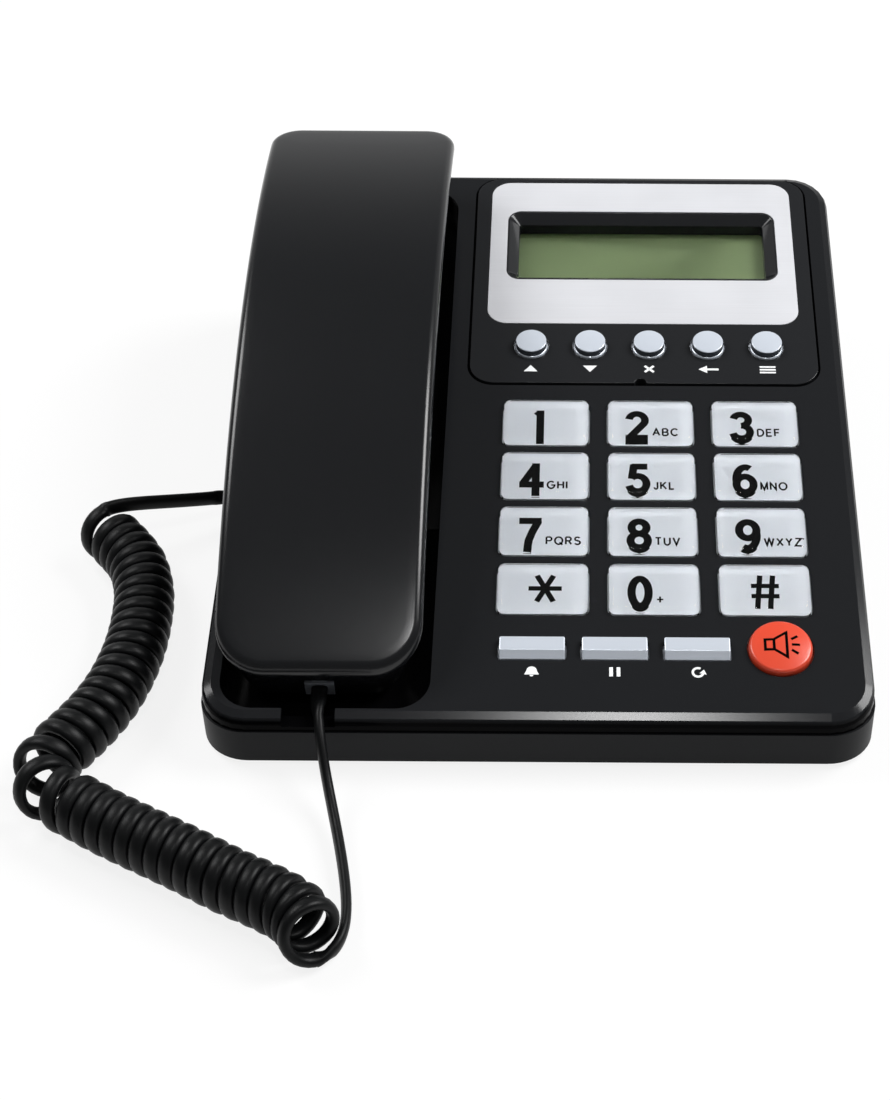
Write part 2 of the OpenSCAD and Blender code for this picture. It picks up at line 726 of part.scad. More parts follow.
// The ramp from the mouthpiece's zone up to the saddle, a little narrower than the trough
module cradle_ramp(grow) {
    front = mouth_end - ramp_lead;
    back = mouth_end + ramp_l;
    intersection() {
        translate([0, 0, -far / 9]) linear_extrude(far / 4) cradle_outline(grow - ramp_skim);
        translate([cradle_x - far / 4, 0, 0]) rotate([90, 0, 90]) linear_extrude(far / 2) polygon([
            [front, far / 9],
            [front, ramp_skim - mouth_depth - grow],
            [back, ramp_skim - saddle_depth - grow],
            [back, far / 9]
        ]);
    }
}

module cradle_hollow(grow) {
    on_slope() {
        cradle_ramp(grow);
        cradle_zone(cradle_front, mouth_end, mouth_depth, grow);
        cradle_zone(mouth_end, ear_start, saddle_depth, grow);
        cradle_zone(ear_start, slope_l + far / 8, ear_depth, grow);
    }
}

// The notch in the front wall that the handset's cord passes through
module cord_notch() {
    translate([notch_x - notch_w / 2, -case_d / 2 - 1, seam_z + notch_floor])
        cube([notch_w, cradle_front + 3, far / 8]);
}

// Openings for every key, with a gap all round
module key_openings() {
    for (i = [0:11]) {
        translate(key_place(i)) slab(key_w + 2 * key_gap, key_l + 2 * key_gap, key_corner + key_gap, -wall - 1, 2);
    }
    for (i = [-1:1]) {
        translate([bar_x + i * bar_pitch, bar_u])
            slab(bar_w + 2 * key_gap, bar_l + 2 * key_gap, bar_corner + key_gap, -wall - 1, 2);
    }
    translate([speaker_key_x, speaker_key_u, -wall - 1]) cylinder(d = speaker_key_d + 2 * key_gap, h = wall + 3);
}

bar_corner = 0.8;
function key_place(i) = [key_x + (i % 3 - 1) * key_pitch_x, first_row_u + (3 - floor(i / 3)) * key_pitch_u, 0];
function menu_place(i) = [key_x + (i - 2) * menu_pitch, menu_u, 0];

// The panel's seat in the upper case: a frame below the surface, open in the middle
module panel_frame() {
    translate([panel_x, panel_u])
        slab(panel_w + 2 * panel_groove + 2, panel_l + 2 * panel_groove + 2, panel_corner, panel_n - ledge_t, -wall / 2);
}

module panel_pocket() {
    translate([panel_x, panel_u]) {
        slab(panel_w + 2 * panel_groove, panel_l + 2 * panel_groove, panel_corner + panel_groove, panel_n, 2);
        slab(panel_w - 2 * ledge_w, panel_l - 2 * ledge_w, panel_corner, panel_n - ledge_t - 1, 2);
    }
}

// The tube under the earpiece's pocket that guides the hook plunger
module hook_guide() {
    w = hook_w + 2 * hook_flange_w + 2 * hook_gap + 2 * hook_wall;
    l = hook_l + 2 * hook_flange_w + 2 * hook_gap + 2 * hook_wall;
    translate([cradle_x - w / 2, hook_u - l / 2, hook_seat_n]) cube([w, l, -ear_depth - hook_seat_n]);
}

module hook_bore() {
    w = hook_w + 2 * hook_gap;
    l = hook_l + 2 * hook_gap;
    translate([cradle_x - w / 2, hook_u - l / 2, hook_seat_n - 1]) cube([w, l, far / 8]);
    translate([cradle_x - w / 2 - hook_flange_w, hook_u - l / 2 - hook_flange_w, hook_seat_n - 1])
        cube([w + 2 * hook_flange_w, l + 2 * hook_flange_w, -ear_depth - wall - hook_seat_n + 1]);
}

module upper_bosses() {
    for (p = bosses) {
        translate([p.x, p.y, boss_z]) cylinder(d = boss_d, h = far / 8);
    }
    on_slope() for (p = posts) {
        translate([p.x, p.y, board_n]) cylinder(d = post_d, h = -board_n);
    }
}

module screw_bores() {
    for (p = bosses) {
        translate([p.x, p.y, boss_z - 1]) cylinder(d = screw_d + 2 * screw_gap, h = screw_l + 0.5);
    }
}

module upper_case() {
    shoulder = [for (a = [0, 22.5, 45, 90]) shoulder_ring(shoulder_r * (1 - cos(a)), shoulder_r * (1 - sin(a)))];
    edge = [for (p = case_outline(upper_w, upper_d, upper_corner)) [p.x, p.y, seam_z]];
    color(case_black) difference() {
        union() {
            difference() {
                loft(concat([edge], shoulder));
                case_inside();
            }
            intersection() {
                union() {
                    cradle_hollow(wall);
                    upper_bosses();
                    on_slope() {
                        panel_frame();
                        hook_guide();
                    }
                }
                translate([0, 0, floor_z + 0.4]) linear_extrude(far)
                    rounded(upper_w - 1.5 * wall, upper_d - 1.5 * wall, upper_corner - wall);
                on_slope() translate([-far / 2, -far / 2, -far - wall / 2]) cube(far);
            }
        }
        cradle_hollow(0);
        cord_notch();
        screw_bores();
        on_slope() {
            key_openings();
            panel_pocket();
            hook_bore();
        }
        translate([line_x - line_body_w / 2, line_y - 1, line_z]) cube([line_body_w, far, line_body_h]);
    }
}

// The base jack's and the line jack's openings and the seats of what stands on the floor
module lower_case() {
    color(tray_black) difference() {
        union() {
            difference() {
                slab(case_w, case_d, case_corner, foot_h, seam_z);
                slab(case_w - 2 * wall, case_d - 2 * wall, case_corner - wall, floor_z, seam_z + 1);
            }
            tongue();
            for (p = bosses) {
                translate([p.x, p.y, foot_h]) cylinder(d = boss_d + 1, h = boss_z - foot_h);
            }
            translate([cradle_x, speaker_y, foot_h]) cylinder(d = speaker_d + 4, h = wall + 4);
            translate([line_x - line_body_w / 2, line_y - line_body_d, foot_h])
                cube([line_body_w, line_body_d - tongue_gap, line_z - foot_h]);
            for (sy = [-1, 1]) {
                translate([base_jack_x, base_jack_y + sy * (jack_w / 2 + tongue_gap + 1) - 1, foot_h])
                    cube([jack_l, 2, wall + jack_h / 2]);
            }
        }
        translate([cradle_x, speaker_y, floor_z]) cylinder(d = speaker_d + 2 * tongue_gap, h = wall + 5);
        for (i = [-3:3]) {
            translate([cradle_x - speaker_d * 0.3, speaker_y + i * 5 - 1.2, 0]) cube([speaker_d * 0.6, 2.4, floor_z + 1]);
        }
        for (p = bosses) {
            translate([p.x, p.y, 0]) cylinder(d = screw_head_d + 0.6, h = screw_head_z);
            translate([p.x, p.y, 0]) cylinder(d = screw_d + 0.6, h = boss_z + 1);
        }
        for (p = feet) {
            translate([p.x, p.y, 0]) cylinder(d = foot_d, h = foot_h + foot_pocket);
        }
        translate([base_jack_x - 0.05, base_jack_y - jack_w / 2 - 0.1, floor_z - jack_sink])
            cube([jack_l + 0.15, jack_w + 0.2, jack_h + 0.2]);
        translate([-case_w / 2 - 1, base_jack_y - plug_w / 2 - plug_gap, base_jack_z - plug_h / 2 - plug_gap])
            cube([wall + 2, plug_w + 2 * plug_gap, plug_h + 2 * plug_gap]);
    }
}

// A tongue on the right and at the back, where nothing hangs below the seam
tongue_reach = 40;
tongue_end = 30;
module tongue() {
    w = upper_w - 2 * wall - 2 * tongue_gap;
    d = upper_d - 2 * wall - 2 * tongue_gap;
    r = upper_corner - wall - tongue_gap;
    t = 1.2;
    root = 3;
    run = case_d - 2 * tongue_end;
    intersection() {
        difference() {
            slab(w, d, r, seam_z - root, seam_z + tongue_h);
            slab(w - 2 * t, d - 2 * t, r - t, seam_z - root - 1, seam_z + tongue_h + 1);
        }
        translate([case_w / 2 - tongue_reach, -run / 2, 0]) cube([tongue_reach, run, far]);
    }
    translate([case_w / 2 - wall - seam_step, -run / 2, seam_z - root]) cube([seam_step + tongue_gap, run, root]);
}

module rubber_feet() {
    color("#101112") for (p = feet) {
        translate([p.x, p.y, 0]) cylinder(d = foot_d - 0.2, h = foot_h + foot_pocket);
    }
}

module case_screws() {
    color("silver") for (p = bosses) {
        translate([p.x, p.y, screw_head_z - screw_head_h]) cylinder(d = screw_head_d, h = screw_head_h);
        translate([p.x, p.y, screw_head_z]) cylinder(d = screw_d, h = screw_l);
    }
}

module display_panel() {
    color(case_black) on_slope() difference() {
        union() {
            translate([panel_x, panel_u]) slab(panel_w, panel_l, panel_corner, panel_n, panel_rise);
            translate([panel_x, window_u])
                slab(lcd_w + 2 * lcd_gap + 2 * frame_wall, lcd_l + 2 * lcd_gap + 2 * frame_wall, frame_wall,
                    lens_n - lens_t - lcd_t, 0);
        }
        difference() {
            translate([panel_x, plate_u]) slab(plate_w, plate_l, plate_corner, panel_rise - plate_t, 2);
            translate([panel_x, window_u]) slab(window_w, window_l, window_corner, -2, 3);
        }
        translate([panel_x, window_u]) {
            hull() {
                slab(window_w - 0.8, window_l - 0.8, window_corner - 0.4, panel_rise, panel_rise + 0.5);
                slab(glass_w, glass_l, 1, panel_rise - bevel_d - 0.2, panel_rise - bevel_d);
            }
            slab(glass_w, glass_l, 1, lens_n - 0.2, panel_rise - bevel_d);
            slab(lcd_w + 2 * lcd_gap, lcd_l + 2 * lcd_gap, 0.6, lens_n - lens_t - lcd_t - 1, lens_n);
        }
        for (i = [0:4]) {
            translate(menu_place(i)) translate([0, 0, panel_n - 1]) cylinder(d = menu_d + 2 * key_gap, h = panel_t + 3);
        }
        translate([panel_x - 1, panel_front, panel_n - 1]) cylinder(r = sound_r, h = panel_t + 3);
    }
}

module fascia_plate() {
    color(plate_silver) on_slope() difference() {
        translate([panel_x, plate_u]) slab(plate_w - 0.2, plate_l - 0.2, plate_corner - 0.1, panel_rise - plate_t, panel_rise);
        translate([panel_x, window_u]) slab(window_w + 0.2, window_l + 0.2, window_corner + 0.1, -2, 3);
    }
}

module lcd_lens() {
    color("#9fb08c", 0.5) on_slope() translate([panel_x, window_u])
        slab(lcd_w, lcd_l, 0.5, lens_n - lens_t, lens_n);
}

module lcd_module() {
    color("#768364") on_slope() translate([panel_x, window_u])
        slab(lcd_w, lcd_l, 0.5, lens_n - lens_t - lcd_t, lens_n - lens_t);
}

// A clear cap, open below, over the base that carries the printed label
module key_cap(i) {
    color("#e6ebf4", 0.6) on_slope() translate(key_place(i)) difference() {
        hull() {
            slab(key_w, key_l, key_corner, flange_n + flange_t, key_rise - key_bevel);
            slab(key_w - 2 * key_bevel, key_l - 2 * key_bevel, key_corner - key_bevel / 2, key_rise - 0.1, key_rise);
        }
        slab(key_w - 2 * cap_wall, key_l - 2 * cap_wall, key_corner - cap_wall / 2, flange_n - 1, key_rise - cap_top);
    }
}

module key_base(i) {
    inset = cap_wall + cap_gap;
    color("#d4d9e3") on_slope() translate(key_place(i)) {
        slab(key_w - 2 * inset, key_l - 2 * inset, key_corner - cap_wall / 2, flange_n, key_rise - cap_top);
        slab(key_w + 2 * flange_w, key_l + 2 * flange_w, key_corner, flange_n, flange_n + flange_t);
    }
}

// A round key with a crowned top and a flange under the wall that it comes through
module round_key(d, low, top) {
    crown = d * 3;
    translate([0, 0, low]) cylinder(d = d + 2 * flange_w, h = flange_t);
    intersection() {
        translate([0, 0, low]) cylinder(d = d, h = top - low);
        translate([0, 0, top - crown]) sphere(crown, $fn = 160);
    }
}

module menu_key(i) {
    color(key_silver) on_slope() translate(menu_place(i)) round_key(menu_d, menu_flange_n, panel_rise + menu_rise);
}

module speaker_key() {
    color("#e2573e") on_slope() translate([speaker_key_x, speaker_key_u])
        round_key(speaker_key_d, flange_n, speaker_key_rise);
}

// A bar key with a level back half and a front half that slopes down
module bar_key(i) {
    bevel = 0.6;
    color(key_silver) on_slope() translate([bar_x + (i - 1) * bar_pitch, bar_u]) {
        slab(bar_w + 2 * flange_w, bar_l + 2 * flange_w, bar_corner, flange_n, flange_n + flange_t);
        hull() {
            slab(bar_w, bar_l, bar_corner, flange_n, bar_rise - bar_facet);
            translate([0, bar_l / 4 - bevel / 2])
                slab(bar_w - 2 * bevel, bar_l / 2 - bevel, bar_corner / 2, bar_rise - 0.1, bar_rise);
        }
    }
}

// The silicone mat, with a dome under every key
module keypad_mat() {
    mat_edge = 4;
    left = post_left + post_d / 2 + post_edge / 2;
    right = post_right - post_d / 2 - post_edge / 2;
    top = flange_n - key_travel - dome_gap;
    menu_top = menu_flange_n - key_travel - dome_gap;
    color("#8f949a") on_slope() {
        translate([left, bar_front - mat_edge, board_n])
            cube([right - left, menu_u - bar_front + 3 * mat_edge, mat_t]);
        for (i = [0:11]) {
            translate(key_place(i)) translate([0, 0, mat_n]) cylinder(d = dome_d, h = top - mat_n);
        }
        for (i = [0:4]) {
            translate(menu_place(i)) translate([0, 0, mat_n]) cylinder(d = dome_d, h = menu_top - mat_n);
        }
        for (i = [-1:1]) {
            translate([bar_x + i * bar_pitch, bar_u, mat_n]) cylinder(d = dome_d, h = top - mat_n);
        }
        translate([speaker_key_x, speaker_key_u, mat_n]) cylinder(d = dome_d, h = top - mat_n);
    }
}

module main_board() {
    color("#2f6b45") on_slope() translate([board_left, board_front, board_n - board_t])
        cube([board_right - board_left, board_back - board_front, board_t]);
}

module loudspeaker() {
    magnet_d = speaker_d * 0.5;
    color("#3a3c3e") translate([cradle_x, speaker_y, floor_z]) {
        cylinder(d = speaker_d, h = 3);
        translate([0, 0, 3]) cylinder(d1 = speaker_d - 4, d2 = magnet_d, h = speaker_h - 8);
        translate([0, 0, speaker_h - 5]) cylinder(d = magnet_d, h = 5);
    }
}

module hook_plunger() {
    w = hook_w + 2 * hook_flange_w;
    l = hook_l + 2 * hook_flange_w;
    color(case_black) on_slope() translate([cradle_x, hook_u]) {
        slab(hook_w, hook_l, 1.5, hook_flange_n, hook_top);
        translate([-w / 2, -l / 2, hook_flange_n]) cube([w, l, hook_flange_t]);
    }
}

// A pressed coil spring between the plunger and the switch
module hook_spring() {
    r = (spring_d - spring_wire) / 2;
    low = hook_seat_n + spring_wire / 2 + 0.2;
    high = hook_flange_n - spring_wire / 2 - 0.2;
    steps = spring_turns * 12;
    path = [for (i = [0:steps])
        let(a = 360 * i / 12)
        [r * cos(a), r * sin(a), mix(low, high, i / steps)]];
    ups = [for (i = [0:steps]) [cos(30 * i), sin(30 * i), 0]];
    color("silver") on_slope() translate([cradle_x, hook_u])
        tube(cord_rings(path, ups, spring_wire, spring_wire, 6));
}

module hook_switch() {
    w = hook_w + 2 * hook_flange_w + 2 * hook_gap + 2 * hook_wall;
    l = hook_l + 2 * hook_flange_w + 2 * hook_gap + 2 * hook_wall;
    color("#26384a") on_slope() translate([cradle_x, hook_u]) {
        translate([-w / 2, -l / 2, hook_seat_n - 5]) cube([w, l, 5]);
        for (i = [-1:1]) {
            translate([i * 4 - 0.4, -0.3, hook_seat_n - 7.5]) cube([0.8, 0.6, 3]);
        }
    }
}

// A plug's jack along +Y, open at its front
module jack_body() {
    difference() {
        translate([-jack_w / 2, 0, -jack_h / 2]) cube([jack_w, jack_l, jack_h]);
        translate([-plug_w / 2 - plug_gap, -1, -plug_h / 2 - plug_gap])
            cube([plug_w + 2 * plug_gap, jack_l, plug_h + 2 * plug_gap]);
    }
}

// A plug with its latch, along +Y, and its cord at the front
module plug_body() {
    latch_w = 3.2;
    translate([-plug_w / 2, 0, -plug_h / 2]) cube([plug_w, plug_l, plug_h - 0.9]);
    translate([-latch_w / 2, 0.6, plug_h / 2 - 1]) cube([latch_w, plug_l - 3, 0.9]);
}

module at_base_jack() {
    translate([base_jack_x, base_jack_y, base_jack_z]) rotate([0, 0, -90]) children();
}

module base_jack() {
    color("#2a2c2e") at_base_jack() jack_body();
}

module base_plug() {
    color("#c9cccf", 0.7) at_base_jack() translate([0, -wall - plug_out, 0]) plug_body();
}

module line_jack() {
    color("#c8c9c6") translate([line_x - line_body_w / 2, line_y - line_body_d, line_z]) difference() {
        cube([line_body_w, line_body_d + wall - 0.4, line_body_h]);
        translate([line_wall, line_wall, line_wall]) cube([line_w, line_body_d + wall, line_h]);
    }
}

module handset_back() {
    edge = [for (a = [0:22.5:90]) cover_ring(cover_edge * (1 - cos(a)), mix(0.7, cover_t, sin(a)))];
    color(handset_black) on_slope() translate([hs_x, 0]) difference() {
        arched_loft(concat([cover_ring(0, 0)], edge));
        for (u = hs_screws_u) {
            translate([0, u, rim_n(u) - 1]) cylinder(d = screw_d + 2 * screw_gap, h = 3.2);
        }
    }
}

// The room inside the front shell, from above its underside to the rim
module hs_cavity() {
    u0 = hs_front + 14;
    u1 = hs_back - 19;
    steps = 24;
    low = [for (i = [0:steps]) let(u = mix(u0, u1, i / steps)) [u, under_n(u) + hs_wall]];
    high = [for (i = [steps:-1:0]) let(u = mix(u0, u1, i / steps)) [u, rim_n(u) + 3]];
    translate([-hs_cavity_w / 2, 0, 0]) rotate([90, 0, 90]) linear_extrude(hs_cavity_w) polygon(concat(low, high));
}

module hs_screw_bosses() {
    for (u = hs_screws_u) {
        translate([0, u, under_n(u) + 0.5]) cylinder(d = boss_d, h = rim_n(u) - under_n(u) - 2.2);
    }
}

module hs_openings() {
    for (u = hs_screws_u) {
        translate([0, u, under_n(u) - 3]) cylinder(d = screw_d + 0.6, h = rim_n(u) - under_n(u) + 6);
        translate([0, u, under_n(u) - 3]) cylinder(d = screw_head_d + 0.6, h = hs_screw_sink(u) - under_n(u) + 3);
    }
    for (i = [0:5]) {
        translate([7 * cos(60 * i), receiver_u + 7 * sin(60 * i), -far / 8]) cylinder(d = 2.4, h = far / 8 + 6);
    }
    translate([0, receiver_u, -far / 8]) cylinder(d = 2.4, h = far / 8 + 6);
    for (i = [-1:1]) {
        translate([i * 3, mic_u, -far / 8]) cylinder(d = 1.6, h = far / 8);
    }
    translate([-plug_w / 2 - plug_gap, hs_front - 3, hs_jack_n - plug_h / 2 - plug_gap])
        cube([plug_w + 2 * plug_gap, 12, plug_h + 2 * plug_gap]);
    translate([-jack_w / 2 - 0.1, hs_jack_u, hs_jack_n - jack_h / 2 - 0.1]) cube([jack_w + 0.2, jack_l + 0.1, jack_h + 0.2]);
}

// Height of the face that a handset screw's head bears on
function hs_screw_sink(u) = rim_n(u) + 1.6 - screw_l;

module handset_front() {
    shell = [
        cup_ring(1, 1, 1),
        cup_ring(0.76, 0.6, 0.98),
        cup_ring(0.56, 0.32, 0.88),
        cup_ring(0.38, 0.13, 0.66),
        cup_ring(0.17, 0.05, 0.36),
        cup_ring(0, 0, 0)
    ];
    color(handset_black) on_slope() translate([hs_x, 0]) difference() {
        union() {
            difference() {
                arched_loft(shell);
                hs_cavity();
            }
            hs_screw_bosses();
        }
        hs_openings();
    }
}

module handset_receiver() {
    seat = under_n(receiver_u - receiver_d / 2) + hs_wall + 0.1;
    color("#4a4d50") on_slope() translate([hs_x, receiver_u, seat]) cylinder(d = receiver_d, h = receiver_h);
}

module handset_microphone() {
    seat = under_n(mic_u + mic_d / 2) + hs_wall + 0.1;
    color("#8d9094") on_slope() translate([hs_x, mic_u, seat]) cylinder(d = mic_d, h = mic_h);
}

module handset_jack() {
    color("#2a2c2e") on_slope() translate([hs_x, hs_jack_u, hs_jack_n]) jack_body();
}

module handset_plug() {
    color("#c9cccf", 0.7) on_slope() translate([hs_x, hs_plug_u, hs_jack_n]) plug_body();
}

module handset_screws() {
    color("silver") on_slope() translate([hs_x, 0]) for (u = hs_screws_u) {
        translate([0, u, hs_screw_sink(u)]) cylinder(d = screw_d, h = screw_l);
        translate([0, u, hs_screw_sink(u) - screw_head_h]) cylinder(d = screw_head_d, h = screw_head_h);
    }
}

module cord_handset_lead() {
    color(cord_black) tube(cord_rings(handset_lead_path, edge_ups(handset_lead_path), cord_w, cord_t, 8));
}

module cord_coil() {
    color(cord_black) tube(coil_rings);
}

module cord_base_lead() {
    color(cord_black) tube(cord_rings(base_lead_path, edge_ups(base_lead_path), cord_w, cord_t, 8));
}

lower_case();
upper_case();
rubber_feet();
case_screws();
display_panel();
fascia_plate();
lcd_lens();
lcd_module();
for (i = [0:11]) key_cap(i);
for (i = [0:11]) key_base(i);
for (i = [0:4]) menu_key(i);
for (i = [0:2]) bar_key(i);
speaker_key();
keypad_mat();
main_board();
loudspeaker();
hook_plunger();
hook_spring();
hook_switch();
base_jack();
line_jack();
handset_back();
handset_front();
handset_receiver();
handset_microphone();
handset_jack();
handset_screws();
handset_plug();
base_plug();
cord_handset_lead();
cord_coil();
cord_base_lead();
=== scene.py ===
"""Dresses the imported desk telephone: finishes, softened mouldings, printed keys, cord, light and camera."""
import json
import logging
import math
from dataclasses import dataclass, field
from enum import Enum
from typing import Callable, Sequence

import bmesh
import bpy
from mathutils import Matrix, Vector

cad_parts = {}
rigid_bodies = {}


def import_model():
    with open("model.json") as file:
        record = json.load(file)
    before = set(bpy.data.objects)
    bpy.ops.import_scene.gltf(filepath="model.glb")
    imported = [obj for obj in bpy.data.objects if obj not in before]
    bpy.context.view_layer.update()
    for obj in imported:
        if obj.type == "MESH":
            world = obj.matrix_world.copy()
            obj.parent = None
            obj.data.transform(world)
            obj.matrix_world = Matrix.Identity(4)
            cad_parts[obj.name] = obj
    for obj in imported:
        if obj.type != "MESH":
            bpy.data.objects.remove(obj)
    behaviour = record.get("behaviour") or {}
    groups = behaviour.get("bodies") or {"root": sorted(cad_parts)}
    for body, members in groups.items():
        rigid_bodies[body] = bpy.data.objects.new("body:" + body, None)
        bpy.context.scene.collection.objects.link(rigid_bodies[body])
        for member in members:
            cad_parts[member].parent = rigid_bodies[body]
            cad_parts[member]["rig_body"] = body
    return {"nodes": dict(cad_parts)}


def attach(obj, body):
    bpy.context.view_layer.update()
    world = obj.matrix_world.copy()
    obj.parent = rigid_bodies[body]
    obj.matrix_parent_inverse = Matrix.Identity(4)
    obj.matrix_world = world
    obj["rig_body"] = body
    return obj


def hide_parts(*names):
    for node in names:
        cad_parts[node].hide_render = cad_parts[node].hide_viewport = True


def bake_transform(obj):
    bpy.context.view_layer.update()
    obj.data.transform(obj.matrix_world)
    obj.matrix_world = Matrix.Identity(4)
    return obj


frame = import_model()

LOG = logging.getLogger("telephone")
MM = 0.001
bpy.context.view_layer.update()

Point = tuple[float, float, float]
Flat = tuple[float, float]
Piece = bpy.types.Object
Tree = bpy.types.NodeTree
Socket = bpy.types.NodeSocket


def linear(hex_colour: str) -> tuple[float, float, float, float]:
    """Turns an sRGB hex colour into linear light.

    Args:
        hex_colour: Six hex digits after a hash.

    Returns:
        Red, green, blue and an alpha of one.
    """
    parts = [int(hex_colour[i:i + 2], 16) / 255 for i in (1, 3, 5)]
    lit = [c / 12.92 if c <= 0.04045 else ((c + 0.055) / 1.055) ** 2.4 for c in parts]
    return (lit[0], lit[1], lit[2], 1.0)


def add(tree: Tree, kind: str, settings: dict | None = None, inputs: dict | None = None) -> bpy.types.Node:
    """Adds one node with its settings, values and links.

    Args:
        tree: The tree that takes the node.
        kind: The node's type name.
        settings: Properties of the node.
        inputs: Input names or numbers with a value, a socket to link from, or a list of such sockets.

    Returns:
        The new node.
    """
    node = tree.nodes.new(kind)
    for key, value in (settings or {}).items():
        setattr(node, key, value)
    for key, value in (inputs or {}).items():
        if isinstance(value, (Socket, list)):
            for source in value if isinstance(value, list) else [value]:
                tree.links.new(source, node.inputs[key])
        else:
            node.inputs[key].default_value = value
    return node


class Surface(Enum):
    """How a finish's surface was made."""

    MOULDED = "moulded"
    ERODED = "eroded"
    BRUSHED = "brushed"
    CLEAR = "clear"
    PRINTED = "printed"
    GLASS_CELL = "glass cell"
    EXTRUDED = "extruded"
    TURNED = "turned"


# How each process draws its grain out along x, y and z: a small number gives long streaks.
STRETCH = {Surface.BRUSHED: (0.012, 1.0, 1.0), Surface.EXTRUDED: (0.25, 1.0, 1.0), Surface.TURNED: (1.0, 1.0, 0.2)}
# How far the roughness strays, as a share: a polished mould is more even than the other processes.
POLISH_SPREAD = 0.04
PLAIN_SPREAD = 0.15
# The range in which most of a noise's values lie.
NOISE_RANGE = (0.3, 0.7)
# The size in millimetres of the broad clouds that lie under the grain.
CLOUD = 22
COAT_ROUGHNESS = 0.05
RELIEF = 0.6


@dataclass(frozen=True)
class Finish:
    """One real material with the way its surface was made; lengths in millimetres."""

    name: str
    colour: str
    surface: Surface
    roughness: float
    metallic: float = 0.0
    ior: float = 1.5
    specular: float = 0.5
    coat: float = 0.0
    transmission: float = 0.0
    grain: float = 0.6
    depth: float = 0.01
    tone: float = 0.08

    def material(self) -> bpy.types.Material:
        """Builds the node material once and gives it back afterwards.

        Returns:
            The material of this finish.
        """
        known = bpy.data.materials.get(self.name)
        if known is not None:
            return known
        made = bpy.data.materials.new(self.name)
        made.use_nodes = True
        tree = made.node_tree
        tree.nodes.clear()
        shader = add(tree, "ShaderNodeBsdfPrincipled", inputs={
            "Base Color": linear(self.colour), "Roughness": self.roughness, "Metallic": self.metallic,
            "IOR": self.ior, "Specular IOR Level": self.specular, "Coat Weight": self.coat,
            "Coat Roughness": COAT_ROUGHNESS, "Transmission Weight": self.transmission})
        add(tree, "ShaderNodeOutputMaterial", inputs={"Surface": shader.outputs["BSDF"]})
        if self.surface is not Surface.CLEAR:
            self._pattern(tree, shader)
        return made

    def _pattern(self, tree: Tree, shader: bpy.types.Node) -> None:
        """Links colour, roughness and relief to the pattern that the process leaves.

        Args:
            tree: The material's tree.
            shader: The shader that takes them.
        """
        place = add(tree, "ShaderNodeTexCoord").outputs["Object"]
        mapped = add(tree, "ShaderNodeMapping", inputs={
            "Vector": place, "Scale": STRETCH.get(self.surface, (1.0, 1.0, 1.0))})
        fine = add(tree, "ShaderNodeTexNoise", inputs={
            "Vector": mapped.outputs["Vector"], "Scale": 1 / MM / self.grain, "Detail": 3.0, "Roughness": 0.55})
        broad = add(tree, "ShaderNodeTexNoise", inputs={"Vector": place, "Scale": 1 / MM / CLOUD, "Detail": 2.0})
        mixed = add(tree, "ShaderNodeMix", {"data_type": "FLOAT"}, {
            "Factor": 0.5, "A": fine.outputs["Fac"], "B": broad.outputs["Fac"]}).outputs["Result"]
        dark, light = (tuple(min(1.0, c * (1 + way * self.tone)) for c in linear(self.colour)[:3]) + (1.0,)
                       for way in (-1, 1))
        shade = add(tree, "ShaderNodeMix", {"data_type": "RGBA"}, {"Factor": mixed, "A": dark, "B": light})
        tree.links.new(shade.outputs[2], shader.inputs["Base Color"])
        share = POLISH_SPREAD if self.surface is Surface.MOULDED else PLAIN_SPREAD
        spread = add(tree, "ShaderNodeMapRange", inputs={
            "Value": mixed, "From Min": NOISE_RANGE[0], "From Max": NOISE_RANGE[1],
            "To Min": self.roughness * (1 - share), "To Max": self.roughness * (1 + share)})
        tree.links.new(spread.outputs["Result"], shader.inputs["Roughness"])
        relief = add(tree, "ShaderNodeBump", inputs={
            "Strength": RELIEF, "Distance": self.depth * MM, "Height": fine.outputs["Fac"]})
        tree.links.new(relief.outputs["Normal"], shader.inputs["Normal"])


# The faint orange peel that a polished mould leaves on large parts, and a finer one on small parts.
PEEL = {"grain": 2.2, "depth": 0.0003, "tone": 0.05}
FINE_PEEL = {"grain": 1.5, "depth": 0.0003}
# The grit of about half a millimetre that an eroded mould leaves.
GRIT = {"grain": 0.5, "depth": 0.004}
# Screen print lies flat and shows only the mesh's fine grain.
MESH = {"grain": 0.4, "depth": 0.001}

# Polished moulds leave black ABS a mirror gloss; below the shoulder CaseShells paints shade into its colour.
CASE_ABS = Finish("ABS moulded gloss black", "#1c1d1f", Surface.MOULDED, 0.14, specular=0.25, **PEEL)
# The tray comes from a spark eroded mould: satin, with a grit of about 0.3 mm that breaks up its highlights.
TRAY_ABS = Finish("ABS eroded satin black", "#141517", Surface.ERODED, 0.45, specular=0.12,
                  grain=0.35, depth=0.006, tone=0.1)
# The handset is the same ABS with a softer polish, so that its long arch shows broad, blurred reflections.
HANDSET_ABS = Finish("ABS moulded handset black", "#141517", Surface.MOULDED, 0.22, specular=0.4, **PEEL)
# The panel has the case's polish in a slightly lighter black.
PANEL_ABS = Finish("ABS moulded panel black", "#202123", Surface.MOULDED, 0.14, specular=0.3, **PEEL)
# Rolled sheet, brushed across: streaks of about 0.15 mm, drawn at twice that so that they show.
PLATE_ALUMINIUM = Finish("aluminium brushed sheet", "#cbccd0", Surface.BRUSHED, 0.5, metallic=0.08,
                         grain=0.3, depth=0.004, tone=0.12)
# Clear caps bend the label's edges and shine where their edges are round.
CAP_ACRYLIC = Finish("acrylic moulded clear", "#ffffff", Surface.CLEAR, 0.02, ior=1.49, transmission=1.0)
# The window is clear sheet and only glints at a low angle.
WINDOW_ACRYLIC = Finish("acrylic sheet clear", "#fbfdf8", Surface.CLEAR, 0.02, ior=1.49, transmission=1.0)
